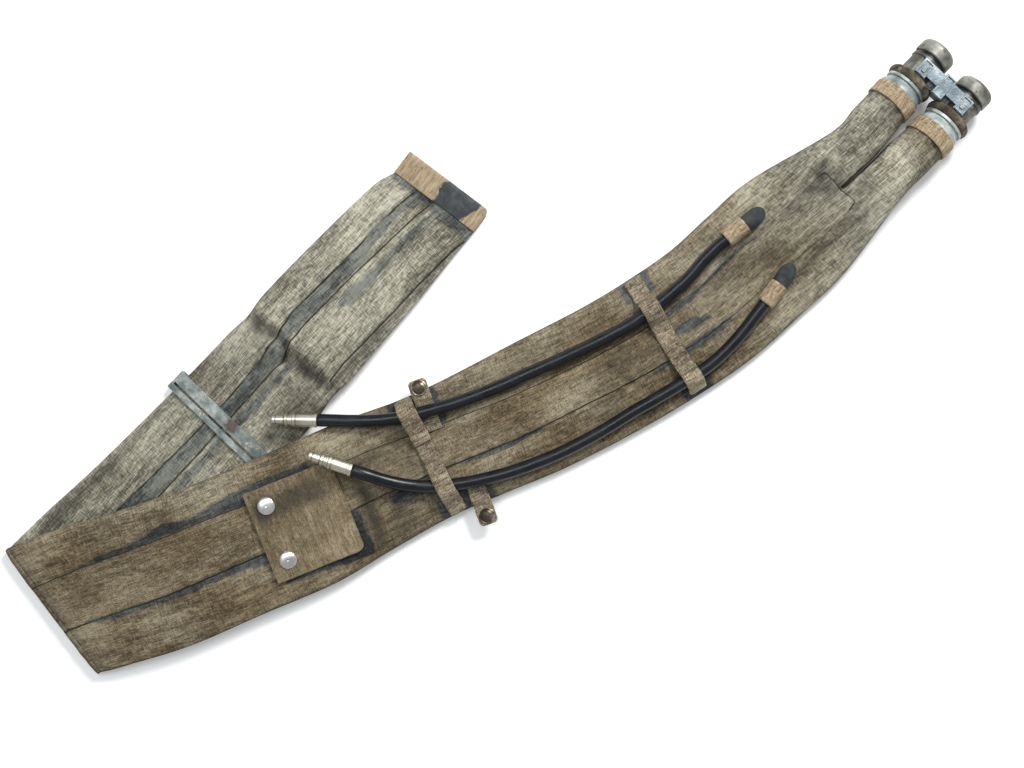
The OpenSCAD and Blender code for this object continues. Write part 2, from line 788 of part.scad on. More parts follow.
// Frame in the middle between the two inflators
module in_bridge() {
    translate(inflator_at)
        rotate([0, 0, inflator_angle])
            children();
}

module bridge_block() {
    color(alloy)
        in_bridge()
            difference() {
                translate([x_shoulder, -12.4, 0])
                    cube([x_groove - x_shoulder - 2.8, 24.8, block_top]);
                for (y = [-pitch / 2, pitch / 2])
                    translate([0, y, 0])
                        x_cylinder(barrel_r + eps, x_shoulder - 1, x_groove);
                translate([post_x, 0, -1])
                    cylinder(r = post_r + run_gap, h = block_top + 2);
                for (x = screw_xs, y = [-screw_y, screw_y])
                    translate([x, y, -1])
                        cylinder(r = 1.2, h = block_top + 2);
            }
}

module bridge_screws() {
    color(steel)
        in_bridge()
            for (x = screw_xs, y = [-screw_y, screw_y])
                translate([x, y, 2.2]) {
                    cylinder(r = 1.19, h = block_top - 2.2 + 0.5);
                    translate([0, 0, block_top - 2.2])
                        difference() {
                            cylinder(r = 2.3, h = 1);
                            translate([-2.5, -0.3, 0.6])
                                cube([5, 0.6, 1]);
                        }
                }
}

// Squeeze plate: a long middle panel, an arm each way and a pad over each barrel
module squeeze_plate() {
    color(alloy)
        in_bridge()
            difference() {
                union() {
                    translate([0, 0, plate_z])
                        linear_extrude(height = plate_t)
                            plate_outline();
                    translate([0, 0, plate_z + plate_t - eps])
                        linear_extrude(height = border_h + eps)
                            plate_borders();
                    translate([post_x, 0, -2.2])
                        cylinder(r = post_r, h = plate_z + 2.2 + eps);
                    for (y = [-pitch / 2, pitch / 2])
                        translate([leg_x, y - leg_w / 2, leg_tip_z])
                            cube([leg_len, leg_w, plate_z - leg_tip_z + eps]);
                }
                for (y = [-pitch / 2, pitch / 2])
                    translate([leg_x + leg_len, y, leg_tip_z])
                        rotate([0, -135, 0])
                            translate([0, -leg_w, 0])
                                cube([9, 2 * leg_w, 9]);
                translate([post_x, 0, -1.1])
                    difference() {
                        cylinder(r = post_r + 1, h = 0.9);
                        translate([0, 0, -1])
                            cylinder(r = 2.4, h = 3);
                    }
            }
}

module plate_outline() {
    translate([28.6, -5.1])
        square([20.4, 10.2]);
    translate([35, -17])
        square([11.3, 34]);
    for (s = [-1, 1])
        translate([31.6, s * 21.9 - 5.2])
            square([14.7, 10.4]);
}

module frame_outline(size, wall) {
    difference() {
        square(size, center = true);
        square(size - [2 * wall, 2 * wall], center = true);
    }
}

module plate_borders() {
    translate([post_x, 0])
        frame_outline([19.4, 9.2], 1);
    for (s = [-1, 1])
        translate([38.95, s * 21.9]) {
            frame_outline([13.4, 9.2], 1);
            square([7.2, 3.2], center = true);
        }
}

module plate_clip() {
    color(steel)
        in_bridge()
            translate([post_x, 0, -1.05])
                difference() {
                    cylinder(r = 5.4, h = 0.8);
                    translate([0, 0, -1])
                        cylinder(r = 2.42, h = 3);
                    translate([0, -1.8, -1])
                        cube([8, 3.6, 3]);
                }
}

placed() front_chamber(upper);  // front_chamber_upper
placed() front_chamber(lower);  // front_chamber_lower
placed() belt_fold();
placed() tail_chamber(upper);  // tail_chamber_upper
placed() tail_chamber(lower);  // tail_chamber_lower
placed() end_binding();
placed() slide_buckle();
placed() flap_anchor();
placed() snap_flap();
placed() flap_snap_caps();
placed() flap_snap_studs();
placed() keeper_left_long();
placed() keeper_left_short();
placed() keeper_right();
placed() tab_anchor(upper);  // tab_anchor_upper
placed() tab(upper);  // tab_upper
placed() tab_snap(upper);  // tab_snap_upper
placed() tab_anchor(lower);  // tab_anchor_lower
placed() tab(lower);  // tab_lower
placed() tab_snap(lower);  // tab_snap_lower
placed() hose(upper);  // hose_upper
placed() hose_sleeve(upper);  // hose_sleeve_upper
placed() nipple_patch(upper);  // nipple_patch_upper
placed() hose(lower);  // hose_lower
placed() hose_sleeve(lower);  // hose_sleeve_lower
placed() nipple_patch(lower);  // nipple_patch_lower
placed() valve_body(upper);  // valve_body_upper
placed() valve_seat(upper);  // valve_seat_upper
placed() valve_spring(upper);  // valve_spring_upper
placed() mouthpiece(upper);  // mouthpiece_upper
placed() lock_ring(upper);  // lock_ring_upper
placed() valve_body(lower);  // valve_body_lower
placed() valve_seat(lower);  // valve_seat_lower
placed() valve_spring(lower);  // valve_spring_lower
placed() mouthpiece(lower);  // mouthpiece_lower
placed() lock_ring(lower);  // lock_ring_lower
placed() neck(upper);  // neck_upper
placed() neck_band(upper);  // neck_band_upper
placed() union_ring(upper);  // union_ring_upper
placed() barrel(upper);  // barrel_upper
placed() pin_guide(upper);  // pin_guide_upper
placed() firing_pin(upper);  // firing_pin_upper
placed() pin_spring(upper);  // pin_spring_upper
placed() cartridge(upper);  // cartridge_upper
placed() cap_seal(upper);  // cap_seal_upper
placed() cap(upper);  // cap_upper
placed() neck(lower);  // neck_lower
placed() neck_band(lower);  // neck_band_lower
placed() union_ring(lower);  // union_ring_lower
placed() barrel(lower);  // barrel_lower
placed() pin_guide(lower);  // pin_guide_lower
placed() firing_pin(lower);  // firing_pin_lower
placed() pin_spring(lower);  // pin_spring_lower
placed() cartridge(lower);  // cartridge_lower
placed() cap_seal(lower);  // cap_seal_lower
placed() cap(lower);  // cap_lower
placed() bridge_block();
placed() bridge_screws();
placed() squeeze_plate();
placed() plate_clip();
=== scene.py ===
"""Looks of the twin-chamber inflatable life belt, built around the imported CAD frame.

Lengths in the tables are millimetres in part.scad's own frame; place() moves them to the row frame.
"""

import json
import math

import bmesh
import bpy
import numpy as np
from mathutils import Matrix, Vector, noise

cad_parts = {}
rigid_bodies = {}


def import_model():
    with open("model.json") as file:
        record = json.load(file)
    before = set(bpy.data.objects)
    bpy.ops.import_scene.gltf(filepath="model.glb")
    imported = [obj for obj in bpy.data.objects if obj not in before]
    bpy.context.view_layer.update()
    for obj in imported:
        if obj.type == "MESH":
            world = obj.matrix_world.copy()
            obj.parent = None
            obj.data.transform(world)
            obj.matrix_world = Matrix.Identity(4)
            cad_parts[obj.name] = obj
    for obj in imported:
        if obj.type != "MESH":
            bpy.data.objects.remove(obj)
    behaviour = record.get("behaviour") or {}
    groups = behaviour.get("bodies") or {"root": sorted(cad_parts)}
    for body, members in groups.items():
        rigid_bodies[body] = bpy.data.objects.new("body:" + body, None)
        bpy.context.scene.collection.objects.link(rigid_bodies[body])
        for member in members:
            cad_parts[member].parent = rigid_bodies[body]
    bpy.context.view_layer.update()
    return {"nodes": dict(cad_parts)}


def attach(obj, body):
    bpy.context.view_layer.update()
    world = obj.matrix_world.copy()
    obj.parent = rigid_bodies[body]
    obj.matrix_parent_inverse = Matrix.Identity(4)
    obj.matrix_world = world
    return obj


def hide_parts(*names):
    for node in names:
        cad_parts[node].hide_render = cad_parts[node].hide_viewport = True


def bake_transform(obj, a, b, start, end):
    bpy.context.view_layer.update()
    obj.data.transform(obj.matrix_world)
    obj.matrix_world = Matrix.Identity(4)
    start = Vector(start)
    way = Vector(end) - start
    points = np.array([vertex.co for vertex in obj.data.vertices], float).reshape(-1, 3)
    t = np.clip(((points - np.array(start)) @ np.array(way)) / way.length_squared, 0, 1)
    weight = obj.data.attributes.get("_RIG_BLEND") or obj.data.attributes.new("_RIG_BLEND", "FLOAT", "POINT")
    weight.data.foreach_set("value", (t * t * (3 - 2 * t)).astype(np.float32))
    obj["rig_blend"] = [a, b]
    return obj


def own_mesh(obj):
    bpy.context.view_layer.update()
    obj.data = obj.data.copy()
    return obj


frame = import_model()

MM = 0.001
WELD = 2e-6             # metres: points closer than this become one
BOX_SHIFT = (4.996, 1.305, 0.0)
SIDES = {"upper": 1, "lower": -1}

# Belt: [x, y, direction of the cut, width share, z upper, z lower, thickness, half gap], as in part.scad
BELT_W = 127
FRONT_CUTS = [
    [-376, -213, 127, 1.03, 8.6, 8.6, 5, 0], [-341, -201, 116, 1.01, 12.8, 12.4, 7.4, 0],
    [-283, -183, 112, 1.00, 17, 14, 9, 0], [-223, -159, 113, 0.97, 19.4, 14, 9.6, 0],
    [-162, -133, 113, 0.97, 18.8, 12, 9.8, 0], [-113, -108, 113, 0.92, 11.5, 7.8, 11.4, 0],
    [-63, -85, 113, 0.85, 6.7, 6.7, 12.2, 0], [-19, -65, 114, 0.86, 6.6, 6.6, 13, 0],
    [34, -40, 114, 0.90, 6.6, 6.6, 13, 0], [96, -8, 115, 0.90, 6.6, 6.6, 13, 0],
    [144, 21, 120, 0.90, 6.8, 6.8, 13.4, 0], [181, 47, 128, 0.90, 7.2, 7.2, 14, 0],
    [215, 78, 134, 0.90, 8, 8, 15, 0], [251, 111, 136, 0.88, 10, 10, 19, 0.5],
]
TAIL_CUTS = [
    [-376, -213, 127, 1.03, 2.55, 2.55, 5, 0], [-335, -170, 136, 0.98, 4.1, 4.1, 7.8, 0],
    [-302, -135, 135, 0.92, 5.2, 5.2, 9.8, 0], [-267, -96, 136, 0.87, 4.2, 4.2, 5.4, 0],
    [-245, -72, 136, 0.845, 4.2, 4.2, 5.4, 0], [-219, -45, 136, 0.835, 4.2, 4.2, 5.4, 0],
    [-194, -18, 136, 0.82, 7.2, 7.2, 11.4, 0], [-164, 15, 136, 0.81, 12.5, 12.5, 14, 0],
    [-133, 50, 135, 0.79, 9.5, 9.5, 14.5, 0], [-101, 85, 135, 0.76, 7, 7, 13.6, 0],
    [-72, 117, 138, 0.71, 5.4, 5.4, 10.5, 0], [-55.5, 132, 143, 0.66, 3.7, 3.7, 7, 0],
    [-47, 143, 143, 0.63, 4, 4, 5, 0],
]
FOLD_AT = (-376, -213, 5.55)
FOLD_MID_R = 3.05
INFLATOR_AT = (339, 194.5, 20.5)
INFLATOR_ANGLE = 46
PITCH = 44
CHAMBER_END_R = 18.5
BAND_W = 13
SLIT_S = 757            # where the two front chambers part
COLUMNS = 48            # columns of faces across one chamber
WALL = 4                # rows of faces on the wall between the chambers beyond the slit
RING_STEP = 2.6
TAPE_END = 755          # where the seam tape ends, just short of the slit
NO_MARK = 99            # a distance so long that no cement or line is drawn

HOSE_D = 10.6
SLEEVE_R = 7.7
STRAP_W = 16
CLOTH_T = 1.4
VALVES = {"upper": ((-152.7, -52.4, 20.3), 179), "lower": ((-122.6, -93.4, 29.4), 161.5)}
VALVE_LEAD = 12
# Springs: start, coil radius, wire radius, length, turns
VALVE_SPRING = (2.6, 3.4, 0.4, 6.8, 5)
PIN_SPRING = (34.05, 4.2, 0.42, 6.45, 3.5)
HOSE_ROUTES = {
    "upper": [
        (204, 110.5, 24), (192, 101, 24), (182, 93, 23.6), (170, 81, 22.4), (157, 66, 21.4),
        (143, 53.5, 20.6), (128, 41, 20.4), (111, 29, 20.4), (92, 18.5, 20), (72, 8.5, 19.6),
        (47, -3, 19.4), (21, -14.5, 19.4), (1, -23.5, 19.4), (-19, -31.5, 19.8), (-39, -38.5, 20.2),
        (-60, -44.5, 20.4), (-77, -49, 20.4), (-94, -51.6, 20.5), (-110, -52.8, 20.7), (-125, -53, 20.6)],
    "lower": [
        (233, 61, 24.4), (223.5, 48.5, 24.4), (215, 37.3, 24), (205, 24, 22.8), (193, 10, 21.4),
        (180, -2.5, 20.6), (166, -13, 20.4), (153, -21, 20.4), (133, -33, 20), (112, -45, 19.6),
        (92, -57.5, 19.4), (72, -69, 19.4), (50, -80, 19.4), (28, -89, 19.6), (6, -96.5, 20),
        (-20, -103, 20.4), (-42, -106.5, 20.4), (-63, -107.6, 20.9), (-80, -106, 22.8), (-96, -102.2, 25.8)],
}

# Keepers: place, angle, length, hose crossings, slack of the arches, height at the ends
KEEPERS = {
    "left": ((-82.5, -36), -62.9, 106, (14.3, 79.4), (2, 4), (10.6, 10.4)),
    "right": ((110.5, 66), -58.7, 109, (30.7, 96.4), (1.5, 0.6), (13.3, 11.6)),
}
KEEPER_LAP = (31, 40)
STRAP_TOP = 13.5
HOSE_Z = 20.4
TABS = {"upper": ((-55.6, -61), 109.5, 23.8), "lower": ((-24, -97.8), -69.4, 20)}
TAB_Z = 13.4
TAB_LEN = 45
FLAP_AT = (-214.2, -114.3, 25.2)
FLAP_ANGLE = 21.8
FLAP_TILT = 2.6
FLAP_SIZE = (78, 80.5)
FLAP_HINGE_X = 58
SNAP_X = 15
SNAP_INSET = 16
BINDING_AT = (-55.5, 132, 0)
BINDING_ANGLE = 53
BINDING_SIZE = (22, 84)
BINDING_T = 8
BUCKLE_AT = (-232, -58.5)


# ---------- geometry helpers ----------
def place(x, y, z):
    return Vector(((x + BOX_SHIFT[0]) * MM, (y + BOX_SHIFT[1]) * MM, (z + BOX_SHIFT[2]) * MM))


def local_frame(at, angle, tilt=0):
    """Matrix from a local frame in millimetres to part.scad's frame, in millimetres."""
    turn = Matrix.Rotation(math.radians(angle), 4, "Z")
    if tilt:
        lean = math.radians(tilt)
        turn = turn @ Matrix.Rotation(lean, 4, "Y") @ Matrix.Rotation(lean, 4, "X")
    z = at[2] if len(at) > 2 else 0
    return Matrix.Translation((at[0], at[1], z)) @ turn


def smooth(a, b, x):
    t = min(1, max(0, (x - a) / (b - a)))
    return t * t * (3 - 2 * t)


def mix(a, b, t):
    return a + (b - a) * t


def wander(x, y, seed=0.0):
    return noise.noise(Vector((x, y, seed)))


def curve_at(rows, u):
    """A smooth curve through rows of numbers, at u counted in rows."""
    last = len(rows) - 1
    i = min(int(u), last - 1)
    a, b, c, d = rows[max(i - 1, 0)], rows[i], rows[i + 1], rows[min(i + 2, last)]
    t = u - i
    return 0.5 * (2 * b + (c - a) * t + (2 * a - 5 * b + 4 * c - d) * t * t + (3 * b - a - 3 * c + d) * t ** 3)


def dense_line(points, step):
    """Points about step apart on a smooth curve through points."""
    rows = np.array(points, float)
    fine = np.array([curve_at(rows, u) for u in np.linspace(0, len(rows) - 1, 40 * len(rows))])
    run = np.concatenate([[0], np.cumsum(np.linalg.norm(np.diff(fine, axis=0), axis=1))])
    at = np.linspace(0, run[-1], max(2, round(run[-1] / step) + 1))
    return np.array([np.interp(at, run, fine[:, k]) for k in range(rows.shape[1])]).T


def piecewise(table, s):
    """Values of a table of [s, value, ...] rows at s."""
    rows = np.array(table, float)
    return [float(np.interp(s, rows[:, 0], rows[:, k])) for k in range(1, rows.shape[1])]


def make_mesh(name, points, faces, material, attributes):
    """A smooth-shaded mesh object from points in part.scad's frame, welded where points meet."""
    mesh = bpy.data.meshes.new(name)
    mesh.from_pydata([place(*p) for p in points], [], faces)
    for key, values in attributes.items():
        vector = len(np.shape(values)) > 1
        layer = mesh.attributes.new(key, "FLOAT_VECTOR" if vector else "FLOAT", "POINT")
        layer.data.foreach_set("vector" if vector else "value", np.array(values, np.float32).ravel())
    work = bmesh.new()
    work.from_mesh(mesh)
    bmesh.ops.remove_doubles(work, verts=work.verts, dist=WELD)
    bmesh.ops.recalc_face_normals(work, faces=work.faces)
    work.to_mesh(mesh)
    work.free()
    mesh.polygons.foreach_set("use_smooth", [True] * len(mesh.polygons))
    mesh.materials.append(material)
    thing = bpy.data.objects.new(name, mesh)
    bpy.context.scene.collection.objects.link(thing)
    return thing


def ring_faces(rings, size):
    """Faces that join rings of equal size, with both ends closed."""
    faces = []
    for i in range(rings - 1):
        for k in range(size):
            a, b = i * size + k, i * size + (k + 1) % size
            faces.append((a, b, b + size, a + size))
    faces.append(tuple(reversed(range(size))))
    faces.append(tuple((rings - 1) * size + k for k in range(size)))
    return faces


def ring_mesh(name, rings, faces, material, cloth, marks=None):
    """A mesh through rings of points; cloth gives each point's place on the flat cloth, in millimetres."""
    flat = {"cloth": [(a * MM, b * MM, 1) for row in cloth for a, b in row]} if cloth else {}
    return make_mesh(name, [p for ring in rings for p in ring], faces, material, flat | (marks or {}))


def loft(name, rings, material, cloth=None, marks=None):
    """A closed solid through rings of points."""
    return ring_mesh(name, rings, ring_faces(len(rings), len(rings[0])), material, cloth, marks)


def lathe(name, matrix, outline, material, turns=64, ripple=0.0):
    """A revolved solid about the frame's x axis, from a closed outline of (x, radius)."""
    rings, cloth, faces = [], [], []
    size = len(outline)
    for i in range(turns):
        a = 2 * math.pi * i / turns
        ring = []
        for x, r in outline:
            bump = ripple * wander(x * 0.4, 3 * math.cos(a), 3 * math.sin(a)) if r > 0 else 0
            ring.append(matrix @ Vector((x, (r + bump) * math.cos(a), (r + bump) * math.sin(a))))
        rings.append(ring)
        cloth.append([(x, r * a) for x, r in outline])
        here, ahead = i * size, (i + 1) % turns * size
        for k in range(size):
            after = (k + 1) % size
            faces.append((here + k, here + after, ahead + after, ahead + k))
    return ring_mesh(name, rings, faces, material, cloth)


def belongs(piece, body, slot, *replaced):
    """Hides the nodes a piece replaces, and attaches it to its body unless it is blended across two; slot is
    not used.
    """
    if body:
        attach(piece, body)
    if replaced:
        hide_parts(*replaced)


def join(name, pieces):
    """One object from several, with the first one's materials."""
    for piece in bpy.context.view_layer.objects.selected:
        piece.select_set(False)
    for piece in pieces:
        piece.select_set(True)
    bpy.context.view_layer.objects.active = pieces[0]
    bpy.ops.object.join()
    pieces[0].name = name
    return pieces[0]


# ---------- materials ----------
class Shade:
    """A Principled material and short ways to add nodes to it."""

    def __init__(self, name, roughness=0.8, metallic=0.0, specular=0.5):
        self.material = bpy.data.materials.new(name)
        self.material.use_nodes = True
        self.tree = self.material.node_tree
        self.shader = self.tree.nodes["Principled BSDF"]
        self.shader.inputs["Roughness"].default_value = roughness
        self.shader.inputs["Metallic"].default_value = metallic
        self.shader.inputs["Specular IOR Level"].default_value = specular

    def node(self, kind, **settings):
        made = self.tree.nodes.new(kind)
        for key, value in settings.items():
            setattr(made, key, value)
        return made

    def link(self, output, socket):
        self.tree.links.new(output, socket)

    def attribute(self, name, output="Fac"):
        return self.node("ShaderNodeAttribute", attribute_name=name).outputs[output]

    def math(self, operation, a, b=None, c=None, clamp=False):
        made = self.node("ShaderNodeMath", operation=operation, use_clamp=clamp)
        for socket, value in zip(made.inputs, (a, b, c)):
            if value is None:
                continue
            if isinstance(value, (int, float)):
                socket.default_value = value
            else:
                self.link(value, socket)
        return made.outputs[0]

    def stretched(self, vector, scale, offset=(0, 0, 0)):
        made = self.node("ShaderNodeVectorMath", operation="MULTIPLY_ADD")
        self.link(vector, made.inputs[0])
        made.inputs[1].default_value = scale
        made.inputs[2].default_value = offset
        return made.outputs[0]

    def noise(self, vector, scale=1.0, detail=4.0, rough=0.55):
        made = self.node("ShaderNodeTexNoise")
        self.link(vector, made.inputs["Vector"])
        made.inputs["Scale"].default_value = scale
        made.inputs["Detail"].default_value = detail
        made.inputs["Roughness"].default_value = rough
        return made.outputs["Fac"]

    def step(self, value, low, high, out_low=0.0, out_high=1.0):
        made = self.node("ShaderNodeMapRange", interpolation_type="SMOOTHSTEP")
        self.link(value, made.inputs["Value"])
        for key, number in zip(("From Min", "From Max", "To Min", "To Max"), (low, high, out_low, out_high)):
            made.inputs[key].default_value = number
        return made.outputs["Result"]

    def ramp(self, value, stops):
        made = self.node("ShaderNodeValToRGB")
        self.link(value, made.inputs["Fac"])
        points = made.color_ramp.elements
        while len(points) < len(stops):
            points.new(0.5)
        for point, (at, colour) in zip(points, stops):
            point.position = at
            point.color = (*colour, 1)
        return made.outputs["Color"]

    def blend(self, share, a, b, mode="MIX"):
        made = self.node("ShaderNodeMix", data_type="RGBA", blend_type=mode)
        for socket, value in ((made.inputs[0], share), (made.inputs[6], a), (made.inputs[7], b)):
            if isinstance(value, (int, float)):
                socket.default_value = value
            elif isinstance(value, tuple):
                socket.default_value = (*value, 1)
            else:
                self.link(value, socket)
        return made.outputs[2]

    def place_of(self):
        return self.node("ShaderNodeTexCoord").outputs["Object"]

    def bump(self, height, distance, strength=1.0):
        made = self.node("ShaderNodeBump")
        self.link(height, made.inputs["Height"])
        made.inputs["Distance"].default_value = distance
        made.inputs["Strength"].default_value = strength
        self.link(made.outputs["Normal"], self.shader.inputs["Normal"])

    def colour(self, value):
        self.link(value, self.shader.inputs["Base Color"])

    def rough(self, value):
        self.link(value, self.shader.inputs["Roughness"])


BROWN = ((0.060, 0.043, 0.024), (0.152, 0.115, 0.066), (0.290, 0.228, 0.138))
PALE = ((0.078, 0.073, 0.056), (0.236, 0.224, 0.170), (0.510, 0.485, 0.375))
STRAP = ((0.045, 0.034, 0.022), (0.160, 0.126, 0.086), (0.380, 0.315, 0.225))
PALE_STRAP = ((0.075, 0.057, 0.037), (0.270, 0.218, 0.148), (0.520, 0.435, 0.305))
TAN = ((0.085, 0.055, 0.030), (0.320, 0.242, 0.152), (0.580, 0.475, 0.330))
ZINC = ((0.085, 0.110, 0.110), (0.200, 0.235, 0.225), (0.400, 0.430, 0.385))
CEMENT = ((0.016, 0.018, 0.019), (0.040, 0.044, 0.046), (0.105, 0.112, 0.110))
OLD_CEMENT = ((0.032, 0.035, 0.034), (0.092, 0.098, 0.090), (0.210, 0.216, 0.185))


def cloth_shade(name, tones, pale_tones=None, masks=False, contrast=1.0, weave=0.00025):
    """Woven rubberised cotton: slubs both ways, streaks, blotches, and cement where masks says so."""
    shade = Shade(name, roughness=0.9, specular=0.12)
    flat = shade.attribute("cloth", "Vector")
    warp = shade.noise(shade.stretched(flat, (150, 1300, 7)), detail=2, rough=0.6)
    weft = shade.noise(shade.stretched(flat, (1300, 190, 7), (3, 1, 0)), detail=2, rough=0.6)
    streaks = shade.noise(shade.stretched(flat, (22, 260, 3), (5, 2, 0)), detail=4, rough=0.6)
    blotches = shade.noise(shade.stretched(flat, (14, 26, 5), (1, 5, 2)), detail=5, rough=0.62)
    tone = 0.5
    for source, share in ((warp, 1.5), (weft, 1.15), (streaks, 0.85), (blotches, 1.25)):
        tone = shade.math("MULTIPLY_ADD", shade.math("SUBTRACT", source, 0.5), share * contrast, tone)
    stops = (0.14, 0.5, 0.9)
    colour = shade.ramp(tone, list(zip(stops, tones)))
    if pale_tones:
        pale = shade.attribute("pale")
        pale = shade.math("MULTIPLY_ADD", shade.math("SUBTRACT", blotches, 0.5), 0.9, pale, clamp=True)
        colour = shade.blend(pale, colour, shade.ramp(tone, list(zip(stops, pale_tones))))
    height = shade.math("MULTIPLY_ADD", streaks, 1.2, shade.math("ADD", warp, weft))
    if masks:
        wobble = shade.noise(shade.stretched(flat, (110, 190, 2), (4, 4, 1)), detail=5, rough=0.62)
        # Darkening by soft marks: real stains, and painted shade in creases, in the valley of the tail's kink
        # and along the belt's outer edges.
        stain_and_shade = shade.math("MULTIPLY", shade.attribute("stain_and_shade"), shade.step(wobble, 0.15, 0.5))
        colour = shade.blend(stain_and_shade, colour, (0.040, 0.036, 0.030))
        edge = shade.math("MULTIPLY_ADD", shade.math("SUBTRACT", wobble, 0.5), 8.0, shade.attribute("cement"))
        colour = shade.blend(shade.step(edge, 0, 3, 0.35, 0), colour, (0.045, 0.040, 0.033))
        # Thin dark lines: the edges of the seam tapes, and painted shade in the slit between the necks, in the
        # tail's groove and creases and across the tape's raised end.
        line = shade.step(shade.math("ABSOLUTE", shade.attribute("line")), 0.3, 1.1, 0.88, 0)
        colour = shade.blend(line, colour, (0.014, 0.013, 0.011))
        cement = shade.step(edge, -0.9, 0.8, 0.93, 0)
        coats = shade.math("MULTIPLY_ADD", shade.math("SUBTRACT", tone, 0.5), 0.55, blotches)
        stops = (0.3, 0.5, 0.74)
        coat = shade.ramp(coats, list(zip(stops, CEMENT)))
        old = shade.ramp(coats, list(zip(stops, OLD_CEMENT)))
        coat = shade.blend(shade.step(shade.attribute("pale"), 0.55, 1.0, 0, 1), coat, old)
        colour = shade.blend(cement, colour, coat)
        shade.rough(shade.step(cement, 0, 1, 0.9, 0.62))
        height = shade.math("MULTIPLY_ADD", cement, 0.6, height)
    shade.colour(colour)
    shade.bump(height, weave)
    return shade.material


def metal_shade(name, tones, roughness, metallic, grain=60, spots=None, bump=0.00008):
    """Worn metal in three tones, with painted shade in its crevices from an ambient occlusion mask; spots adds
    (colour, low, high) patches.
    """
    shade = Shade(name, roughness=roughness, metallic=metallic)
    at = shade.place_of()
    tone = shade.noise(at, grain, 6, 0.62)
    colour = shade.ramp(tone, list(zip((0.32, 0.52, 0.7), tones)))
    if spots:
        patch, low, high = spots
        where = shade.step(shade.noise(at, grain * 1.7, 5, 0.7), low, high)
        colour = shade.blend(where, colour, patch)
        shade.rough(shade.step(where, 0, 1, roughness, min(0.95, roughness + 0.35)))
    # Painted shade: ambient occlusion darkens the part's crevices and hollows towards near black.
    hollow = shade.node("ShaderNodeAmbientOcclusion", only_local=True, samples=8)
    hollow.inputs["Distance"].default_value = 0.003
    crevice_shade = shade.step(hollow.outputs["AO"], 0.35, 0.85, 0.75, 0)
    shade.colour(shade.blend(crevice_shade, colour, (0.020, 0.017, 0.013)))
    shade.bump(shade.math("MULTIPLY_ADD", tone, 2.0, shade.noise(at, grain * 9, 3)), bump)
    return shade.material


def rubber_shade(name, base, light, roughness, grain=90, bump=0.00006, specular=0.3):
    shade = Shade(name, roughness=roughness, specular=specular)
    at = shade.place_of()
    tone = shade.noise(at, grain, 6, 0.6)
    shade.colour(shade.ramp(tone, [(0.35, base), (0.75, light)]))
    shade.rough(shade.step(tone, 0.3, 0.75, roughness - 0.05, roughness + 0.12))
    shade.bump(shade.noise(at, grain * 12, 3), bump)
    return shade.material


def binding_shade():
    """The end binding: tan tape with worn black rubber over its middle right, where wear is positive."""
    shade = Shade("binding_tape", roughness=0.85, specular=0.25)
    flat = shade.attribute("cloth", "Vector")
    tone = shade.noise(shade.stretched(flat, (420, 60, 3)), detail=6, rough=0.7)
    worn = shade.noise(shade.stretched(flat, (130, 160, 3)), detail=6, rough=0.75)
    colour = shade.ramp(tone, list(zip((0.25, 0.5, 0.78), TAN)))
    colour = shade.blend(shade.step(worn, 0.56, 0.68, 0, 0.7), colour, (0.075, 0.052, 0.034))
    coat = shade.ramp(shade.noise(shade.stretched(flat, (60, 60, 3)), detail=6, rough=0.7),
                      list(zip((0.3, 0.5, 0.75), CEMENT)))
    edge = shade.math("MULTIPLY_ADD", shade.math("SUBTRACT", worn, 0.5), 8.0, shade.attribute("cement"))
    where = shade.step(edge, -0.6, 0.6, 1, 0)
    shade.colour(shade.blend(where, colour, coat))
    shade.rough(shade.step(where, 0, 1, 0.88, 0.55))
    shade.bump(shade.math("MULTIPLY_ADD", tone, 1.5, worn), 0.0003)
    return shade.material


def zinc_shade():
    """The slide buckle: blue-grey zinc with pale corrosion, and one rust spot in the middle of its span."""
    shade = Shade("buckle_zinc", roughness=0.55, metallic=0.35)
    at = shade.place_of()
    tone = shade.noise(at, 75, 7, 0.68)
    colour = shade.ramp(tone, list(zip((0.36, 0.5, 0.64), ZINC)))
    bloom = shade.step(shade.noise(at, 170, 6, 0.75), 0.55, 0.63)
    colour = shade.blend(bloom, colour, (0.58, 0.57, 0.46))
    spot = shade.node("ShaderNodeVectorMath", operation="DISTANCE")
    shade.link(at, spot.inputs[0])
    spot.inputs[1].default_value = place(BUCKLE_AT[0] + 6, BUCKLE_AT[1] + 1, 11)
    near = shade.math("MULTIPLY_ADD", shade.noise(at, 260, 5, 0.7), -0.012, spot.outputs["Value"])
    colour = shade.blend(shade.step(near, -0.0015, 0.0018, 0.85, 0), colour, (0.085, 0.042, 0.030))
    shade.colour(colour)
    shade.rough(shade.step(bloom, 0, 1, 0.5, 0.85))
    shade.bump(shade.math("MULTIPLY_ADD", bloom, 0.8, tone), 0.0004)
    return shade.material


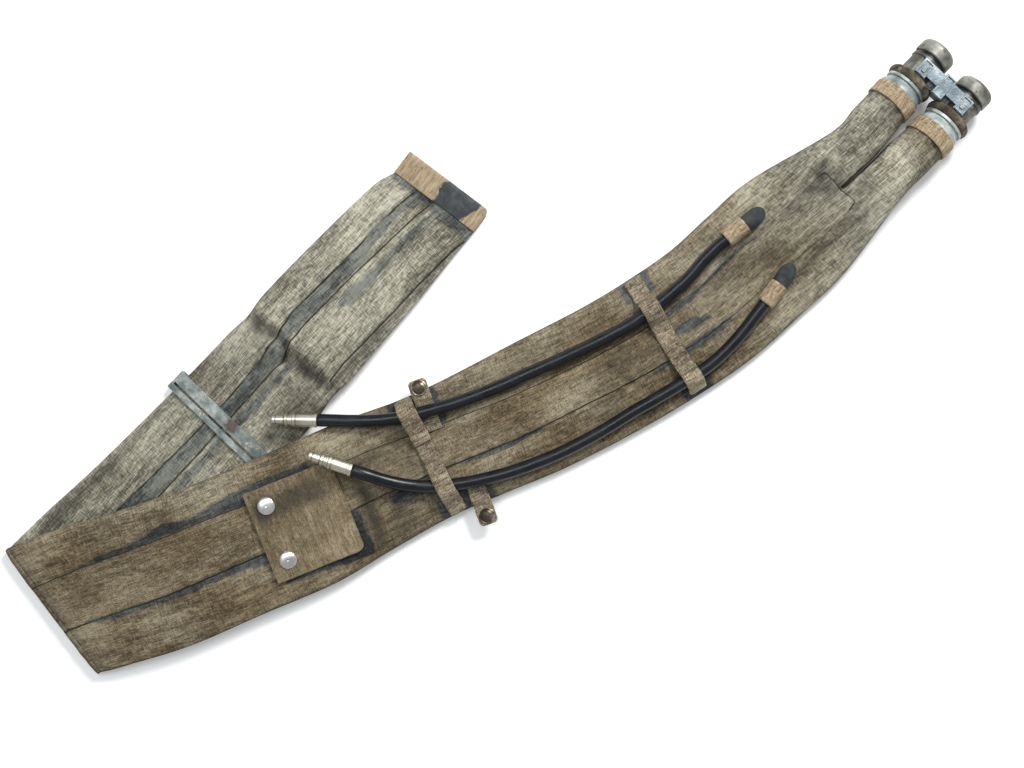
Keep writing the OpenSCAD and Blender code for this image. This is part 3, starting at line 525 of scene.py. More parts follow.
# Key: (name, three tones, roughness, metallic, grain, spots, bump)
METALS = {
    "nickel": ("aged_nickel", ((0.52, 0.47, 0.36), (0.72, 0.68, 0.56), (0.86, 0.83, 0.72)), 0.3, 1.0, 60,
               None, 0.00002),
    "snap": ("bright_nickel", ((0.55, 0.55, 0.52), (0.80, 0.80, 0.77), (0.92, 0.92, 0.89)), 0.3, 1.0, 80,
             None, 0.00003),
    "dark_snap": ("blackened_snap", ((0.035, 0.028, 0.020), (0.10, 0.08, 0.055), (0.42, 0.37, 0.29)),
                  0.38, 0.8, 110),
    "neck": ("galvanised", ((0.12, 0.155, 0.15), (0.34, 0.39, 0.375), (0.70, 0.74, 0.70)), 0.5, 0.4, 50,
             ((0.14, 0.12, 0.08), 0.58, 0.66), 0.0003),
    "ring": ("corroded_ring", ((0.030, 0.022, 0.013), (0.115, 0.090, 0.058), (0.27, 0.23, 0.16)), 0.85, 0.2,
             110, ((0.035, 0.025, 0.014), 0.54, 0.62), 0.0008),
    "barrel": ("gunmetal", ((0.030, 0.028, 0.022), (0.095, 0.092, 0.078), (0.24, 0.235, 0.205)), 0.45, 0.6),
    "cap": ("cap_metal", ((0.080, 0.076, 0.062), (0.25, 0.245, 0.22), (0.46, 0.455, 0.42)), 0.5, 0.5, 55,
            ((0.10, 0.085, 0.055), 0.55, 0.66), 0.0002),
    "plate": ("cast_alloy", ((0.12, 0.150, 0.168), (0.24, 0.285, 0.31), (0.50, 0.55, 0.58)), 0.42, 0.5, 70,
              ((0.07, 0.07, 0.065), 0.63, 0.70), 0.0002),
    "steel": ("plain_steel", ((0.28, 0.28, 0.28), (0.45, 0.45, 0.45), (0.62, 0.62, 0.62)), 0.35, 1.0),
}
MATERIALS = {
    "belt": cloth_shade("belt_cloth_shade", BROWN, PALE, masks=True),
    "strap": cloth_shade("strap_cloth_shade", STRAP, PALE_STRAP, contrast=1.15, weave=0.0003),
    "flap": cloth_shade("flap_cloth_shade", BROWN, PALE_STRAP, masks=True, contrast=0.8),
    "tan": cloth_shade("tan_cloth_shade", TAN, contrast=0.8, weave=0.0003),
    "hose": rubber_shade("hose_rubber", (0.0030, 0.0042, 0.0060), (0.0080, 0.0105, 0.0145), 0.3, specular=0.4),
    "patch": rubber_shade("patch_rubber", (0.013, 0.016, 0.018), (0.040, 0.048, 0.051), 0.6, 160, 0.0002),
    "zinc": zinc_shade(),
    "binding": binding_shade(),
} | {key: metal_shade(*look) for key, look in METALS.items()}


# ---------- camera, light and floor ----------
def build_stage():
    scene = bpy.context.scene
    lens = bpy.data.cameras.new("camera")
    lens.lens = 50
    lens.sensor_width = 36
    camera = bpy.data.objects.new("camera", lens)
    scene.collection.objects.link(camera)
    camera.location = (0.0152, -0.0208, 1.209)
    scene.camera = camera

    world = bpy.data.worlds.new("world")
    world.use_nodes = True
    world.node_tree.nodes["Background"].inputs["Color"].default_value = (0.95, 0.97, 1.0, 1)
    world.node_tree.nodes["Background"].inputs["Strength"].default_value = 0.42
    scene.world = world
    scene.view_settings.view_transform = "Standard"
    scene.view_settings.look = "None"

    for name, where, size, power, colour in (
        ("key", (0.75, 1.25, 1.35), 0.55, 35, (1, 1, 1)),
        ("fill", (-0.9, 0.3, 1.6), 1.2, 7, (1, 1, 1)),
        ("top", (-0.15, 0.55, 1.8), 0.55, 6, (0.82, 0.91, 1.0)),
    ):
        light = bpy.data.lights.new(name, "AREA")
        light.shape = "DISK"
        light.size = size
        light.energy = power
        light.color = colour
        lamp = bpy.data.objects.new(name, light)
        scene.collection.objects.link(lamp)
        lamp.location = where
        lamp.rotation_euler = (-Vector(where)).to_track_quat("-Z", "Y").to_euler()

    floor_shade = Shade("floor_shade", roughness=0.9, specular=0.1)
    floor_shade.shader.inputs["Base Color"].default_value = (0.92, 0.92, 0.915, 1)
    floor_shade.shader.inputs["Emission Color"].default_value = (1, 1, 1, 1)
    floor_shade.shader.inputs["Emission Strength"].default_value = 0.14
    mesh = bpy.data.meshes.new("floor")
    reach = 6
    corners = ((-reach, -reach), (reach, -reach), (reach, reach), (-reach, reach))
    mesh.from_pydata([(x, y, -0.0002) for x, y in corners], [], [(0, 1, 2, 3)])
    mesh.materials.append(floor_shade.material)
    floor = bpy.data.objects.new("floor", mesh)
    scene.collection.objects.link(floor)


# ---------- springs ----------
def build_spring(name, matrix, x0, mean_r, wire_r, length, turns, joint, travel):
    """A coil along the frame's x axis; joint and travel are not used."""
    steps = round(turns * 24)
    rise = length - 2 * wire_r
    rings = []
    for i in range(steps + 1):
        a = 2 * math.pi * turns * i / steps
        x = x0 + wire_r + rise * i / steps
        ring = []
        for k in range(8):
            turn = math.pi * k / 4
            r = mean_r + wire_r * math.cos(turn)
            ring.append(matrix @ Vector((x + wire_r * math.sin(turn), r * math.cos(a), r * math.sin(a))))
        rings.append(ring)
    spring = loft(f"{name}_coil", rings, MATERIALS["steel"])
    belongs(spring, "belt", "steel", name)
    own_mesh(spring)
    return spring


def build_valve_spring(side):
    at, angle = VALVES[side]
    return build_spring(f"valve_spring_{side}", local_frame(at, angle), *VALVE_SPRING,
                        f"mouthpiece_{side}_press", 2.8)


def build_pin_spring(side):
    build_spring(f"pin_spring_{side}", inflator_frame(SIDES[side]), *PIN_SPRING, f"pin_{side}_slide", 3)


# ---------- hoses ----------
def build_hose(side):
    at, angle = VALVES[side]
    turn = math.radians(angle)
    lead = (at[0] - VALVE_LEAD * math.cos(turn), at[1] - VALVE_LEAD * math.sin(turn), at[2])
    line = dense_line([*HOSE_ROUTES[side], lead, at], 2.5)
    count = 28
    rings, cloth = [], []
    run = 0.0
    for i, p in enumerate(line):
        ahead = Vector(line[min(i + 1, len(line) - 1)]) - Vector(line[max(i - 1, 0)])
        level = Vector((-ahead.y, ahead.x, 0)).normalized()
        rise = ahead.normalized().cross(level)
        run += 0 if i == 0 else float(np.linalg.norm(line[i] - line[i - 1]))
        ring, row = [], []
        for k in range(count):
            a = 2 * math.pi * k / count
            r = HOSE_D / 2 + 0.08 * wander(run / 9, 2 * math.cos(a), 2 * math.sin(a) + 5)
            ring.append(Vector(p) + (level * math.cos(a) + rise * math.sin(a)) * r)
            row.append((run, r * a))
        rings.append(ring)
        cloth.append(row)
    hose = loft(f"oral_hose_{side}", rings, MATERIALS["hose"], cloth)
    belongs(hose, "belt", "black_rubber", f"hose_{side}")
    parts = ("valve_body", "valve_seat", "mouthpiece", "lock_ring")
    valve = [frame["nodes"][f"{part}_{side}"] for part in parts]
    [build_valve_spring(side)] + valve


# ---------- belt ----------
class Run:
    """A stretch of belt along its cross-cuts; s counts millimetres along it, d across it from its middle."""

    def __init__(self, cuts):
        self.rows = np.array(cuts, float)
        us = np.linspace(0, len(cuts) - 1, 60 * len(cuts))
        line = np.array([curve_at(self.rows, u)[:2] for u in us])
        self.us = us
        self.run = np.concatenate([[0], np.cumsum(np.linalg.norm(np.diff(line, axis=0), axis=1))])
        self.length = float(self.run[-1])

    def cut(self, s):
        return curve_at(self.rows, float(np.interp(s, self.run, self.us)))


def neck_cut(x, gap):
    a = math.radians(INFLATOR_ANGLE)
    return [INFLATOR_AT[0] + math.cos(a) * x, INFLATOR_AT[1] + math.sin(a) * x, INFLATOR_ANGLE + 90,
            (PITCH + 2 * CHAMBER_END_R) / BELT_W, INFLATOR_AT[2], INFLATOR_AT[2], 2 * CHAMBER_END_R, gap]


FRONT = Run(FRONT_CUTS + [neck_cut(-48, 2), neck_cut(-20, 3.5), neck_cut(BAND_W - 0.3, 3.5)])
TAIL = Run(TAIL_CUTS)

# Edges of the seam tape on the front: [s, upper edge, lower edge]
FRONT_TAPE = [
    [0, 25, -21], [40, 27, -19], [90, 30, -17], [150, 30.5, -15.5], [220, 28, -14], [300, 26, -13.5],
    [355, 22, -14.5], [420, 18, -17.5], [480, 16, -17], [550, 15, -19], [610, 18, -18.5], [670, 21.5, -19],
    [715, 18.5, -20.5], [740, 20, -20], [756, 20, -15]]
# On the tail: [s, middle groove, edge of the left tape, edge of the right tape, crease by the right edge]
TAIL_LINES = [
    [0, 0, 22, -20, -56], [60, 2, 20, -17, -54], [114, 2.5, 18.5, -12, -50], [180, 1, 15, -9, -49],
    [228, 3, 15, -9, -48], [273, 3, 16, -8, -46], [284, 1.5, 18, -8, -44], [297, 7, 19, -9, -40],
    [320, 8.5, 22.5, -9, -38], [340, 7.5, 21.5, -9, -39], [380, 6, 19.5, -10, -40], [410, 4, 19, -10, -40],
    [456, 1, 17.5, -10, -42], [490, 0, 17, -10, -46]]
# Creases pressed into the cloth: [s, d, s, d, depth, width]
FRONT_CREASES = [
    [514, 22, 510, 2, 1.1, 3.0], [510, 2, 522, -19, 1.5, 3.0], [522, -19, 532, -32, 1.0, 3.5],
    [236, -30, 250, 20, 0.9, 5], [268, 10, 262, -34, 1.0, 6], [300, 44, 318, 20, 0.8, 5],
    [716, -34, 742, -44, 1.2, 5], [742, 8, 756, 22, 2.2, 4], [752, -4, 760, 12, 1.6, 4],
    [560, -8, 640, 2, 0.5, 4], [380, 8, 470, 6, 0.5, 4]]
TAIL_CREASES = [
    [292, 54, 296, 22, 4.0, 5.5], [296, 22, 297, 9, 2.6, 4.5], [297, 9, 286, 1, 4.6, 3],
    [290, -3, 292, -40, 4.6, 7],
    [304, 24, 306, -40, -1.3, 4], [270, 20, 150, 6, 0.9, 3], [262, -16, 170, -22, 0.8, 3],
    [250, 30, 215, 40, 0.8, 4], [312, -30, 360, -26, 0.7, 4], [395, 12, 340, 10, 0.7, 2.5],
    [372, 8, 378, 20, 1.2, 3], [240, -28, 200, -36, 0.8, 4], [100, 6, 180, -3, 1.0, 3],
    [110, 24, 190, 12, 0.9, 3]]
# Cement that squeezed out along the seams: [s, middle, half width]
FRONT_CEMENT = [
    [[12, 25.6, 0.5], [40, 27.6, 0.9], [62, 30.2, 3.2], [80, 30.5, 1.8], [96, 33.5, 3.2], [118, 35.6, 5.0],
     [136, 33.2, 2.6], [156, 34.6, 3.8], [176, 35.5, 5.8], [206, 34, 7]],
    [[20, -20.0, 0.6], [44, -20.6, 2.4], [80, -19.4, 2.2], [110, -18.6, 2.8], [140, -17.8, 2.4],
     [165, -17.6, 3.5], [188, -17.6, 6], [206, -18, 6]],
    [[352, -14.6, 0.6], [380, -16.4, 1.2], [404, -17.4, 3.2], [424, -17.6, 2.2], [446, -17.2, 0.5]],
    [[300, -20, 4], [312, -21, 6], [330, -21.5, 3.5], [352, -21, 2]],
    [[536, -21, 0.5], [560, -20.5, 2.2], [598, -19.5, 3.6], [620, -18.4, 1.8]],
    [[556, 12.5, 2], [600, 16, 2.2], [640, 19.5, 1.4], [700, 17, 0.7]],
    [[572, -1, 1], [582, -2, 5], [594, -4, 4], [606, -7, 0.5]],
]
# Soft dark smudges, partly real stains and partly painted shade: [s, d, reach along, reach across, strength]
FRONT_STAINS_AND_SHADE = [
    [716, 14, 16, 7, 0.55], [738, 16, 11, 6, 0.7], [700, 6, 12, 4, 0.35], [752, 4, 14, 11, 0.6],
    [708, -27, 26, 6, 0.6], [742, -26, 22, 5, 0.5], [690, -6, 8, 5, 0.5], [676, -2, 6, 9, 0.55],
    [764, -12, 14, 8, 0.5], [735, -43, 16, 8, 0.45], [814, 22, 7, 16, 0.3], [814, -22, 7, 16, 0.3],
    [751, 20, 8, 8, 0.85], [746, 8, 7, 14, 0.6],
    [300, 20, 26, 12, 0.45], [262, -36, 14, 18, 0.4], [522, 0, 22, 16, 0.4], [500, -30, 30, 12, 0.3],
    [330, 0, 18, 40, 0.3], [560, 0, 12, 40, 0.35], [3, 0, 5, 70, 0.35], [440, 40, 60, 9, 0.3],
    # The first two below are painted shade in the creases to the right of the flap.
    [280, -20, 7, 40, 1.0], [303, -30, 7, 30, 0.7], [300, -44, 20, 14, 0.5], [322, 24, 12, 10, 0.5],
    [640, 8, 40, 9, 0.35], [610, 30, 40, 12, 0.3]]
# Soft dark smudges on the tail, with the same columns: partly real stains, partly painted shade; those near s
# 290 lie in the valley of the kink.
TAIL_STAINS_AND_SHADE = [
    [293, 36, 8, 16, 0.85], [293, -20, 9, 20, 0.9], [289, 5, 8, 7, 0.8], [280, -30, 16, 22, 0.45],
    [262, -34, 40, 8, 0.5],
    [60, 52, 70, 6, 0.6], [10, 40, 14, 30, 0.6], [250, 8, 40, 12, 0.35], [440, -41, 60, 4, 0.55],
    [350, -42, 70, 5, 0.6], [200, 30, 60, 14, 0.2], [470, 0, 9, 50, 0.6], [150, 50, 120, 4, 0.5]]


def segment_distance(s, d, s0, d0, s1, d1):
    ds, dd = s1 - s0, d1 - d0
    t = min(1, max(0, ((s - s0) * ds + (d - d0) * dd) / (ds * ds + dd * dd)))
    return math.hypot(s - s0 - t * ds, d - d0 - t * dd)


def pressed(creases, s, d):
    total = 0.0
    for s0, d0, s1, d1, depth, width in creases:
        if min(s0, s1) - 3 * width < s < max(s0, s1) + 3 * width:
            near = segment_distance(s, d, s0, d0, s1, d1) / width
            total -= depth * math.exp(-near * near) - 0.35 * depth * math.exp(-(near - 1.9) ** 2)
    return total


def soft_spots(spots, s, d):
    total = 0.0
    for s0, d0, reach_s, reach_d, strength in spots:
        q = ((s - s0) / reach_s) ** 2 + ((d - d0) / reach_d) ** 2
        if q < 9:
            total = max(total, strength * math.exp(-q))
    return total


def stripe_distance(table, s, d):
    middle, half = piecewise(table, s)
    return max(abs(d - middle) - half, table[0][0] - s, s - table[-1][0])


def box_distance(x, y, x0, x1, y0, y1):
    dx, dy = max(x0 - x, x - x1), max(y0 - y, y - y1)
    return math.hypot(max(dx, 0), max(dy, 0)) + min(max(dx, dy), 0)


def both_lines(a, b):
    """A signed distance that is zero where either of two signed distances is."""
    return a * b / (abs(a) + abs(b) + 1e-6)


def front_relief(s, d):
    quiet = 1 - 0.75 * smooth(172, 186, s) * (1 - smooth(262, 276, s))
    neck = smooth(740, 800, s)
    waves = 0.75 * wander(s / 48, d / 26, 1) + 0.5 * wander(s / 21, d / 9, 2)
    waves += 0.38 * wander(s / 30, d / 3.6, 3)
    waves *= (1 - 0.5 * neck) * quiet
    pleats = 0.55 * neck * math.sin(abs(d) / 2.6) * smooth(770, 830, s)
    return smooth(2, 18, s) * (waves + pressed(FRONT_CREASES, s, d)) + pleats


def tail_relief(s, d):
    groove, left, right, crease = piecewise(TAIL_LINES, s)
    held = 1 - 0.9 * smooth(150, 166, s) * (1 - smooth(241, 256, s))
    waves = 1.1 * wander(s / 40, d / 22, 11) + 0.8 * wander(s / 26, d / 7, 12)
    waves += 0.5 * wander(s / 34, d / 3.2, 13)
    channel = smooth(left + 2, left - 1.5, d) * smooth(right - 2.5, right + 2, d)
    sunk = 2.0 * channel - 0.9 * smooth(groove + 1, groove - 1.5, d) * channel
    fold = -1.5 * math.exp(-((d - crease) / 1.8) ** 2) - 1.6 * smooth(crease, crease - 9, d)
    return smooth(2, 18, s) * (held * (waves + pressed(TAIL_CREASES, s, d) - sunk)
                               + fold * smooth(290, 330, s)) * (1 - smooth(466, 474, s))


FLAP_FRAME = local_frame(FLAP_AT, FLAP_ANGLE, FLAP_TILT)
FLAP_BACK = FLAP_FRAME.inverted()
KEEPER_BACK = {k: local_frame(v[0], v[1]).inverted() for k, v in KEEPERS.items()}
TAB_BACK = {k: local_frame(v[0], v[1]).inverted() for k, v in TABS.items()}


def front_cement(s, d, x, y):
    near = min(stripe_distance(table, s, d) for table in FRONT_CEMENT)
    p = FLAP_BACK @ Vector((x, y, FLAP_AT[2]))
    right, bottom, top = p.x - FLAP_SIZE[0], -FLAP_SIZE[1] - p.y, p.y
    beside_cemented_edge = max(right - 6, -right - 6, top + 24, bottom - 5)
    beside_top = max(top - 5.5, -top - 4, p.x - FLAP_HINGE_X, -p.x)
    beside_bottom = max(bottom - mix(2.5, 6.5, p.x / FLAP_SIZE[0]), -bottom - 6, -p.x + 6, right - 5)
    near = min(near, beside_cemented_edge, beside_top, beside_bottom)
    for name, back in KEEPER_BACK.items():
        length = KEEPERS[name][2]
        p = back @ Vector((x, y, 0))
        for x0, x1 in ((0, 13), (length - 13, length)):
            near = min(near, box_distance(p.x, p.y, x0, x1, -8, 8) - 6)
    for name, back in TAB_BACK.items():
        p = back @ Vector((x, y, 0))
        near = min(near, box_distance(p.x, p.y, 6, TABS[name][2] + 8, -8, 8) - 5)
    return near


def front_marks(s, d, x, y, top):
    """(pale, stain, cement, line) of a point of the front run."""
    if not top:
        if s >= SLIT_S:
            return 0.8, 0.15, NO_MARK, NO_MARK
        groove, left, right, _ = piecewise(TAIL_LINES, 250)
        # Painted shade: a dark line in the middle groove, as on the tail.
        return 0.8, 0.15, max(d - left, right - d, -abs(d - groove) + 2), d - groove
    pale = piecewise([[0, 0.1], [160, 0.12], [300, 0.1], [430, 0.1], [540, 0.1], [610, 0.2], [680, 0.4],
                      [730, 0.8], [765, 1.15], [805, 1.2], [846, 0.4]], s)[0]
    pale += 0.25 * smooth(745, 790, s) * smooth(-8, 8, d) - 0.3 * smooth(745, 790, s) * smooth(8, -8, d)
    pale += 0.2 * wander(s / 60, d / 40, 21) + 0.12 * smooth(20, 60, d) * (s < 560)
    half = FRONT.cut(s)[3] * BELT_W / 2
    # Painted shade along the outer edges of the belt; the cloth also darkens towards the neck bands.
    stain_and_shade = soft_spots(FRONT_STAINS_AND_SHADE, s, d) + 0.5 * smooth(812, 840, s) + 0.4 * smooth(half - 3, half, abs(d))
    # Painted shade: a dark line down the slit between the two necks.
    slit = max(abs(d) - 1, 0) if s > SLIT_S - 1 else NO_MARK
    return pale, min(0.9, stain_and_shade), front_cement(s, d, x, y), slit


def tail_marks(s, d, x, y, top):
    groove, left, right, crease = piecewise(TAIL_LINES, s)
    if not top:
        upper, lower = piecewise(FRONT_TAPE, 40)
        return 0.2, 0.1, NO_MARK, both_lines(d - upper, d - lower)
    worn = 3.5 * wander(s / 25, d / 8, 23)
    inner = mix(groove + 1.5, 10, smooth(385, 408, s))
    left_tape = max(d - left, inner - d) + worn + 0.6
    gone = 9 * smooth(284, 300, s) * (1 - smooth(345, 362, s))
    right_tape = max(d - (groove - 3.5 - 3 * smooth(340, 380, s)), right - d) + 0.6 * worn + 0.8 + gone
    end_band = max(465.5 - s + 3 * wander(d / 12, 0, 5) - 3 * (d < -8), -30)
    # Painted shade: dark lines in the middle groove, along the left tape's edge and, past s 300, in the crease
    # by the right edge.
    line = both_lines(both_lines(d - groove, d - left), d - crease if s > 300 else d + 90)
    pale = 0.97 + 0.15 * wander(s / 50, d / 30, 22)
    return pale, soft_spots(TAIL_STAINS_AND_SHADE, s, d), min(left_tape, right_tape, end_band), line


def ring_of(run, s, side, corner, gap, middle, split, dip, pinch, relief):
    """One chamber's ring at s: top from the outer edge inwards, the inner wall, then the bottom outwards."""
    row = run.cut(s)
    half = row[3] * BELT_W / 2 - pinch
    z_mid = (row[4] + row[5]) / 2
    slope = ((row[4] if side > 0 else row[5]) - z_mid) / half
    inner = middle + side * gap
    a = math.radians(row[2])
    across = (math.cos(a), math.sin(a))
    thick = row[6] / 2
    top, bottom = [], []
    for j in range(COLUMNS + 1):
        c = math.cos(math.pi * j / COLUMNS)
        d = mix(inner, side * half, (c + 1) / 2)
        round_side = max(0, 1 - abs(c) ** corner) ** (1 / corner)
        flat_side = 1 - dip * math.exp(-((d - middle) / 3.2) ** 2)
        share = round_side if c > 0 else mix(flat_side, round_side, split)
        z = z_mid + slope * abs(d) if side * d > 0 else z_mid
        lift = relief(s, d) * min(1, share * 1.6) * (1 - split if c < -0.6 else 1)
        x, y = row[0] + across[0] * d, row[1] + across[1] * d
        top.append((x, y, z + thick * share + lift, d))
        bottom.append((x, y, z - thick * share, d))
    return top, bottom


class Skin:
    """The points of a belt cloth mesh, each with its place on the flat cloth and its marks."""

    def __init__(self):
        self.points = []
        self.attributes = {key: [] for key in ("cloth", "pale", "stain_and_shade", "cement", "line")}

    def add(self, point, cloth, marks):
        self.points.append(point)
        for values, value in zip(self.attributes.values(), (cloth, *marks)):
            values.append(value)

    def mesh(self, name, faces):
        return make_mesh(name, self.points, faces, MATERIALS["belt"], self.attributes)


def closing_faces(start, size, wall):
    """Faces that close one ring of a chamber, from its top to its bottom."""
    row = list(range(start, start + size))
    top, bottom = row[:COLUMNS + 1], row[COLUMNS + wall:][::-1]
    return [(t0, t1, b1, b0) for t0, t1, b0, b1 in zip(top, top[1:], bottom, bottom[1:])]


def build_run(name, run, stations, corner_at, gap_at, middle_at, split_at, dip, pinch_at, relief, marks,
              slit, body, replaced):
    """A run of two chambers side by side, joined along the middle up to the slit."""
    skin, faces = Skin(), []
    size = 2 * (COLUMNS + 1) + WALL - 1
    for side in (1, -1):
        start = len(skin.points)
        for s in stations:
            top, bottom = ring_of(run, s, side, corner_at(s), gap_at(s), middle_at(s), split_at(s), dip,
                                  pinch_at(s), relief)
            wall = [tuple(mix(t, b, k / WALL) for t, b in zip(top[-1], bottom[-1])) for k in range(1, WALL)]
            for k, (x, y, z, d) in enumerate(top + wall + bottom[::-1]):
                is_top = k <= COLUMNS
                skin.add((x, y, z), (s * MM, d * MM, 0.1 if is_top else 0.4), marks(s, d, x, y, is_top))
        for i in range(len(stations) - 1):
            for k in range(size):
                inner_wall = COLUMNS <= k < COLUMNS + WALL
                if inner_wall and stations[i] < slit - 0.01:
                    continue
                a, b = start + i * size + k, start + i * size + (k + 1) % size
                quad = (a, b, b + size, a + size)
                faces.append(quad if side > 0 else quad[::-1])
        for i in (0, len(stations) - 1):
            faces += closing_faces(start + i * size, size, WALL)
    belt = skin.mesh(name, faces)
    belongs(belt, body, "belt_cloth", *replaced)


def spaced(start, end, step):
    count = round((end - start) / step)
    return [start + (end - start) * i / count for i in range(count + 1)]


def build_front():
    stations = spaced(0, SLIT_S, RING_STEP) + spaced(SLIT_S, FRONT.length, RING_STEP)[1:]
    build_run(
        "belt_front_run", FRONT, stations,
        corner_at=lambda s: mix(3.0, 2.0, smooth(600, 790, s)),
        gap_at=lambda s: mix(0.3, 3.3, smooth(798, FRONT.length, s)) if s > SLIT_S + 0.01 else 0.0,
        middle_at=lambda s: 0.0, split_at=lambda s: smooth(SLIT_S - 40, SLIT_S + 34, s),
        dip=0.0, pinch_at=lambda s: 0.0, relief=front_relief, marks=front_marks, slit=SLIT_S, body="belt",
        replaced=("front_chamber_upper", "front_chamber_lower"))


def build_tail():
    build_run(
        "belt_tail_run", TAIL, spaced(0, TAIL.length, RING_STEP),
        corner_at=lambda s: 2.8, gap_at=lambda s: 0.0,
        middle_at=lambda s: piecewise(TAIL_LINES, s)[0] * smooth(0, 20, s), split_at=lambda s: 0.0, dip=0.3,
        pinch_at=lambda s: 2.2 * math.exp(-((s - 292) / 14) ** 2), relief=tail_relief, marks=tail_marks,
        slit=math.inf, body="tail", replaced=("tail_chamber_upper", "tail_chamber_lower"))


def front_surface(s, d):
    """Top of the front run at (s, d), as x, y, z."""
    row = FRONT.cut(s)
    half = row[3] * BELT_W / 2
    z_mid = (row[4] + row[5]) / 2
    slope = ((row[4] if d > 0 else row[5]) - z_mid) / half
    corner = mix(3.0, 2.0, smooth(600, 790, s))
    c = 2 * abs(d) / half - 1
    round_side = max(0, 1 - abs(c) ** corner) ** (1 / corner)
    split = smooth(SLIT_S - 40, SLIT_S + 34, s)
    share = round_side if c > 0 else mix(1, round_side, split)
    lift = front_relief(s, d) * min(1, share * 1.6) * (1 - split if c < -0.6 else 1)
    a = math.radians(row[2])
    z = z_mid + slope * abs(d) + row[6] / 2 * share + lift
    return row[0] + math.cos(a) * d, row[1] + math.sin(a) * d, z


def build_tape():
    """The seam tape along the middle of the front run."""
    tape_t = 0.85
    columns = 22
    skin = Skin()
    stations = spaced(0, TAPE_END, RING_STEP)
    for s in stations:
        upper, lower = piecewise(FRONT_TAPE, s)
        upper += 0.35 * wander(s / 7, 0, 31)
        lower += 0.35 * wander(s / 7, 4, 32)
        raised = 1.6 * math.exp(-((s - 750) / 6) ** 2) * (s > 700)
        row = []
        for k in range(columns + 1):
            d = mix(upper, lower, k / columns)
            x, y, z = front_surface(s, d)
            rim = 0.25 if k in (0, columns) else 0
            row.append((x, y, z + tape_t - rim + raised, d))
        below = [(x, y, z - tape_t - 0.5 - raised, d) for x, y, z, d in row]
        for x, y, z, d in row + below[::-1]:
            pale, stain_and_shade, cement, _ = front_marks(s, d, x, y, True)
            inside = min(upper - d, d - lower)
            if s < 540:
                cement = max(cement, inside - 1.2)
            # Dark lines along the tape's edges, and painted shade across the tape's raised end.
            edge = min(inside, TAPE_END - s) - 0.1 + 0.9 * smooth(560, 620, s) * (s < 745)
            skin.add((x, y, z), (s * MM + 0.31, d * MM, 0.7), (pale + 0.03, stain_and_shade, cement, edge))
    tape = skin.mesh("belt_seam_tape", ring_faces(len(stations), 2 * (columns + 1)))
    belongs(tape, "belt", "belt_cloth")


def build_fold():
    """The bend of the belt: the front run's first ring turned half round the fold line."""
    steps = 18
    a = math.radians(FRONT_CUTS[0][2])
    across = (math.cos(a), math.sin(a))
    out = (math.cos(a + math.pi / 2), math.sin(a + math.pi / 2))
    skin, faces = Skin(), []
    half = FRONT_CUTS[0][3] * BELT_W / 2
    thick = FRONT_CUTS[0][6] / 2
    size = 2 * (COLUMNS + 1)
    upper, lower = FRONT_TAPE[0][1:]
    for side in (1, -1):
        start = len(skin.points)
        for i in range(steps + 1):
            turn = math.pi * i / steps
            mid_r = mix(FOLD_MID_R, FOLD_MID_R - 0.05, i / steps)
            for face in (1, -1):
                order = range(COLUMNS + 1) if face > 0 else range(COLUMNS, -1, -1)
                for j in order:
                    c = math.cos(math.pi * j / COLUMNS)
                    d = mix(0, side * half, (c + 1) / 2)
                    power = mix(3.0, 2.8, i / steps)
                    share = max(0, 1 - abs(c) ** power) ** (1 / power) if c > 0 else 1
                    dent = 0.5 * wander(d / 9, turn * 1.3, 41) * math.sin(turn) * share
                    r = mid_r + face * thick * share + dent
                    point = (FOLD_AT[0] + across[0] * d + out[0] * r * math.sin(turn),
                             FOLD_AT[1] + across[1] * d + out[1] * r * math.sin(turn),
                             FOLD_AT[2] + r * math.cos(turn))
                    edge = both_lines(d - upper, d - lower) if face > 0 else NO_MARK
                    skin.add(point, (-5.5 * turn * MM, d * MM, 0.1 if face > 0 else 0.4),
                             (0.15, 0.35 * math.sin(turn) + 0.15, NO_MARK, edge))
        for i in range(steps):
            for k in range(size):
                if k == COLUMNS:
                    continue
                p, q = start + i * size + k, start + i * size + (k + 1) % size
                faces.append((p, q, q + size, p + size))
        for i in (0, steps):
            faces += closing_faces(start + i * size, size, 1)
    fold = skin.mesh("belt_fold_cloth", faces)
    belongs(fold, None, "belt_cloth", "belt_fold")
    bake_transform(fold, "belt", "tail", start=place(*FOLD_AT[:2], 11.1), end=place(*FOLD_AT[:2], 0))


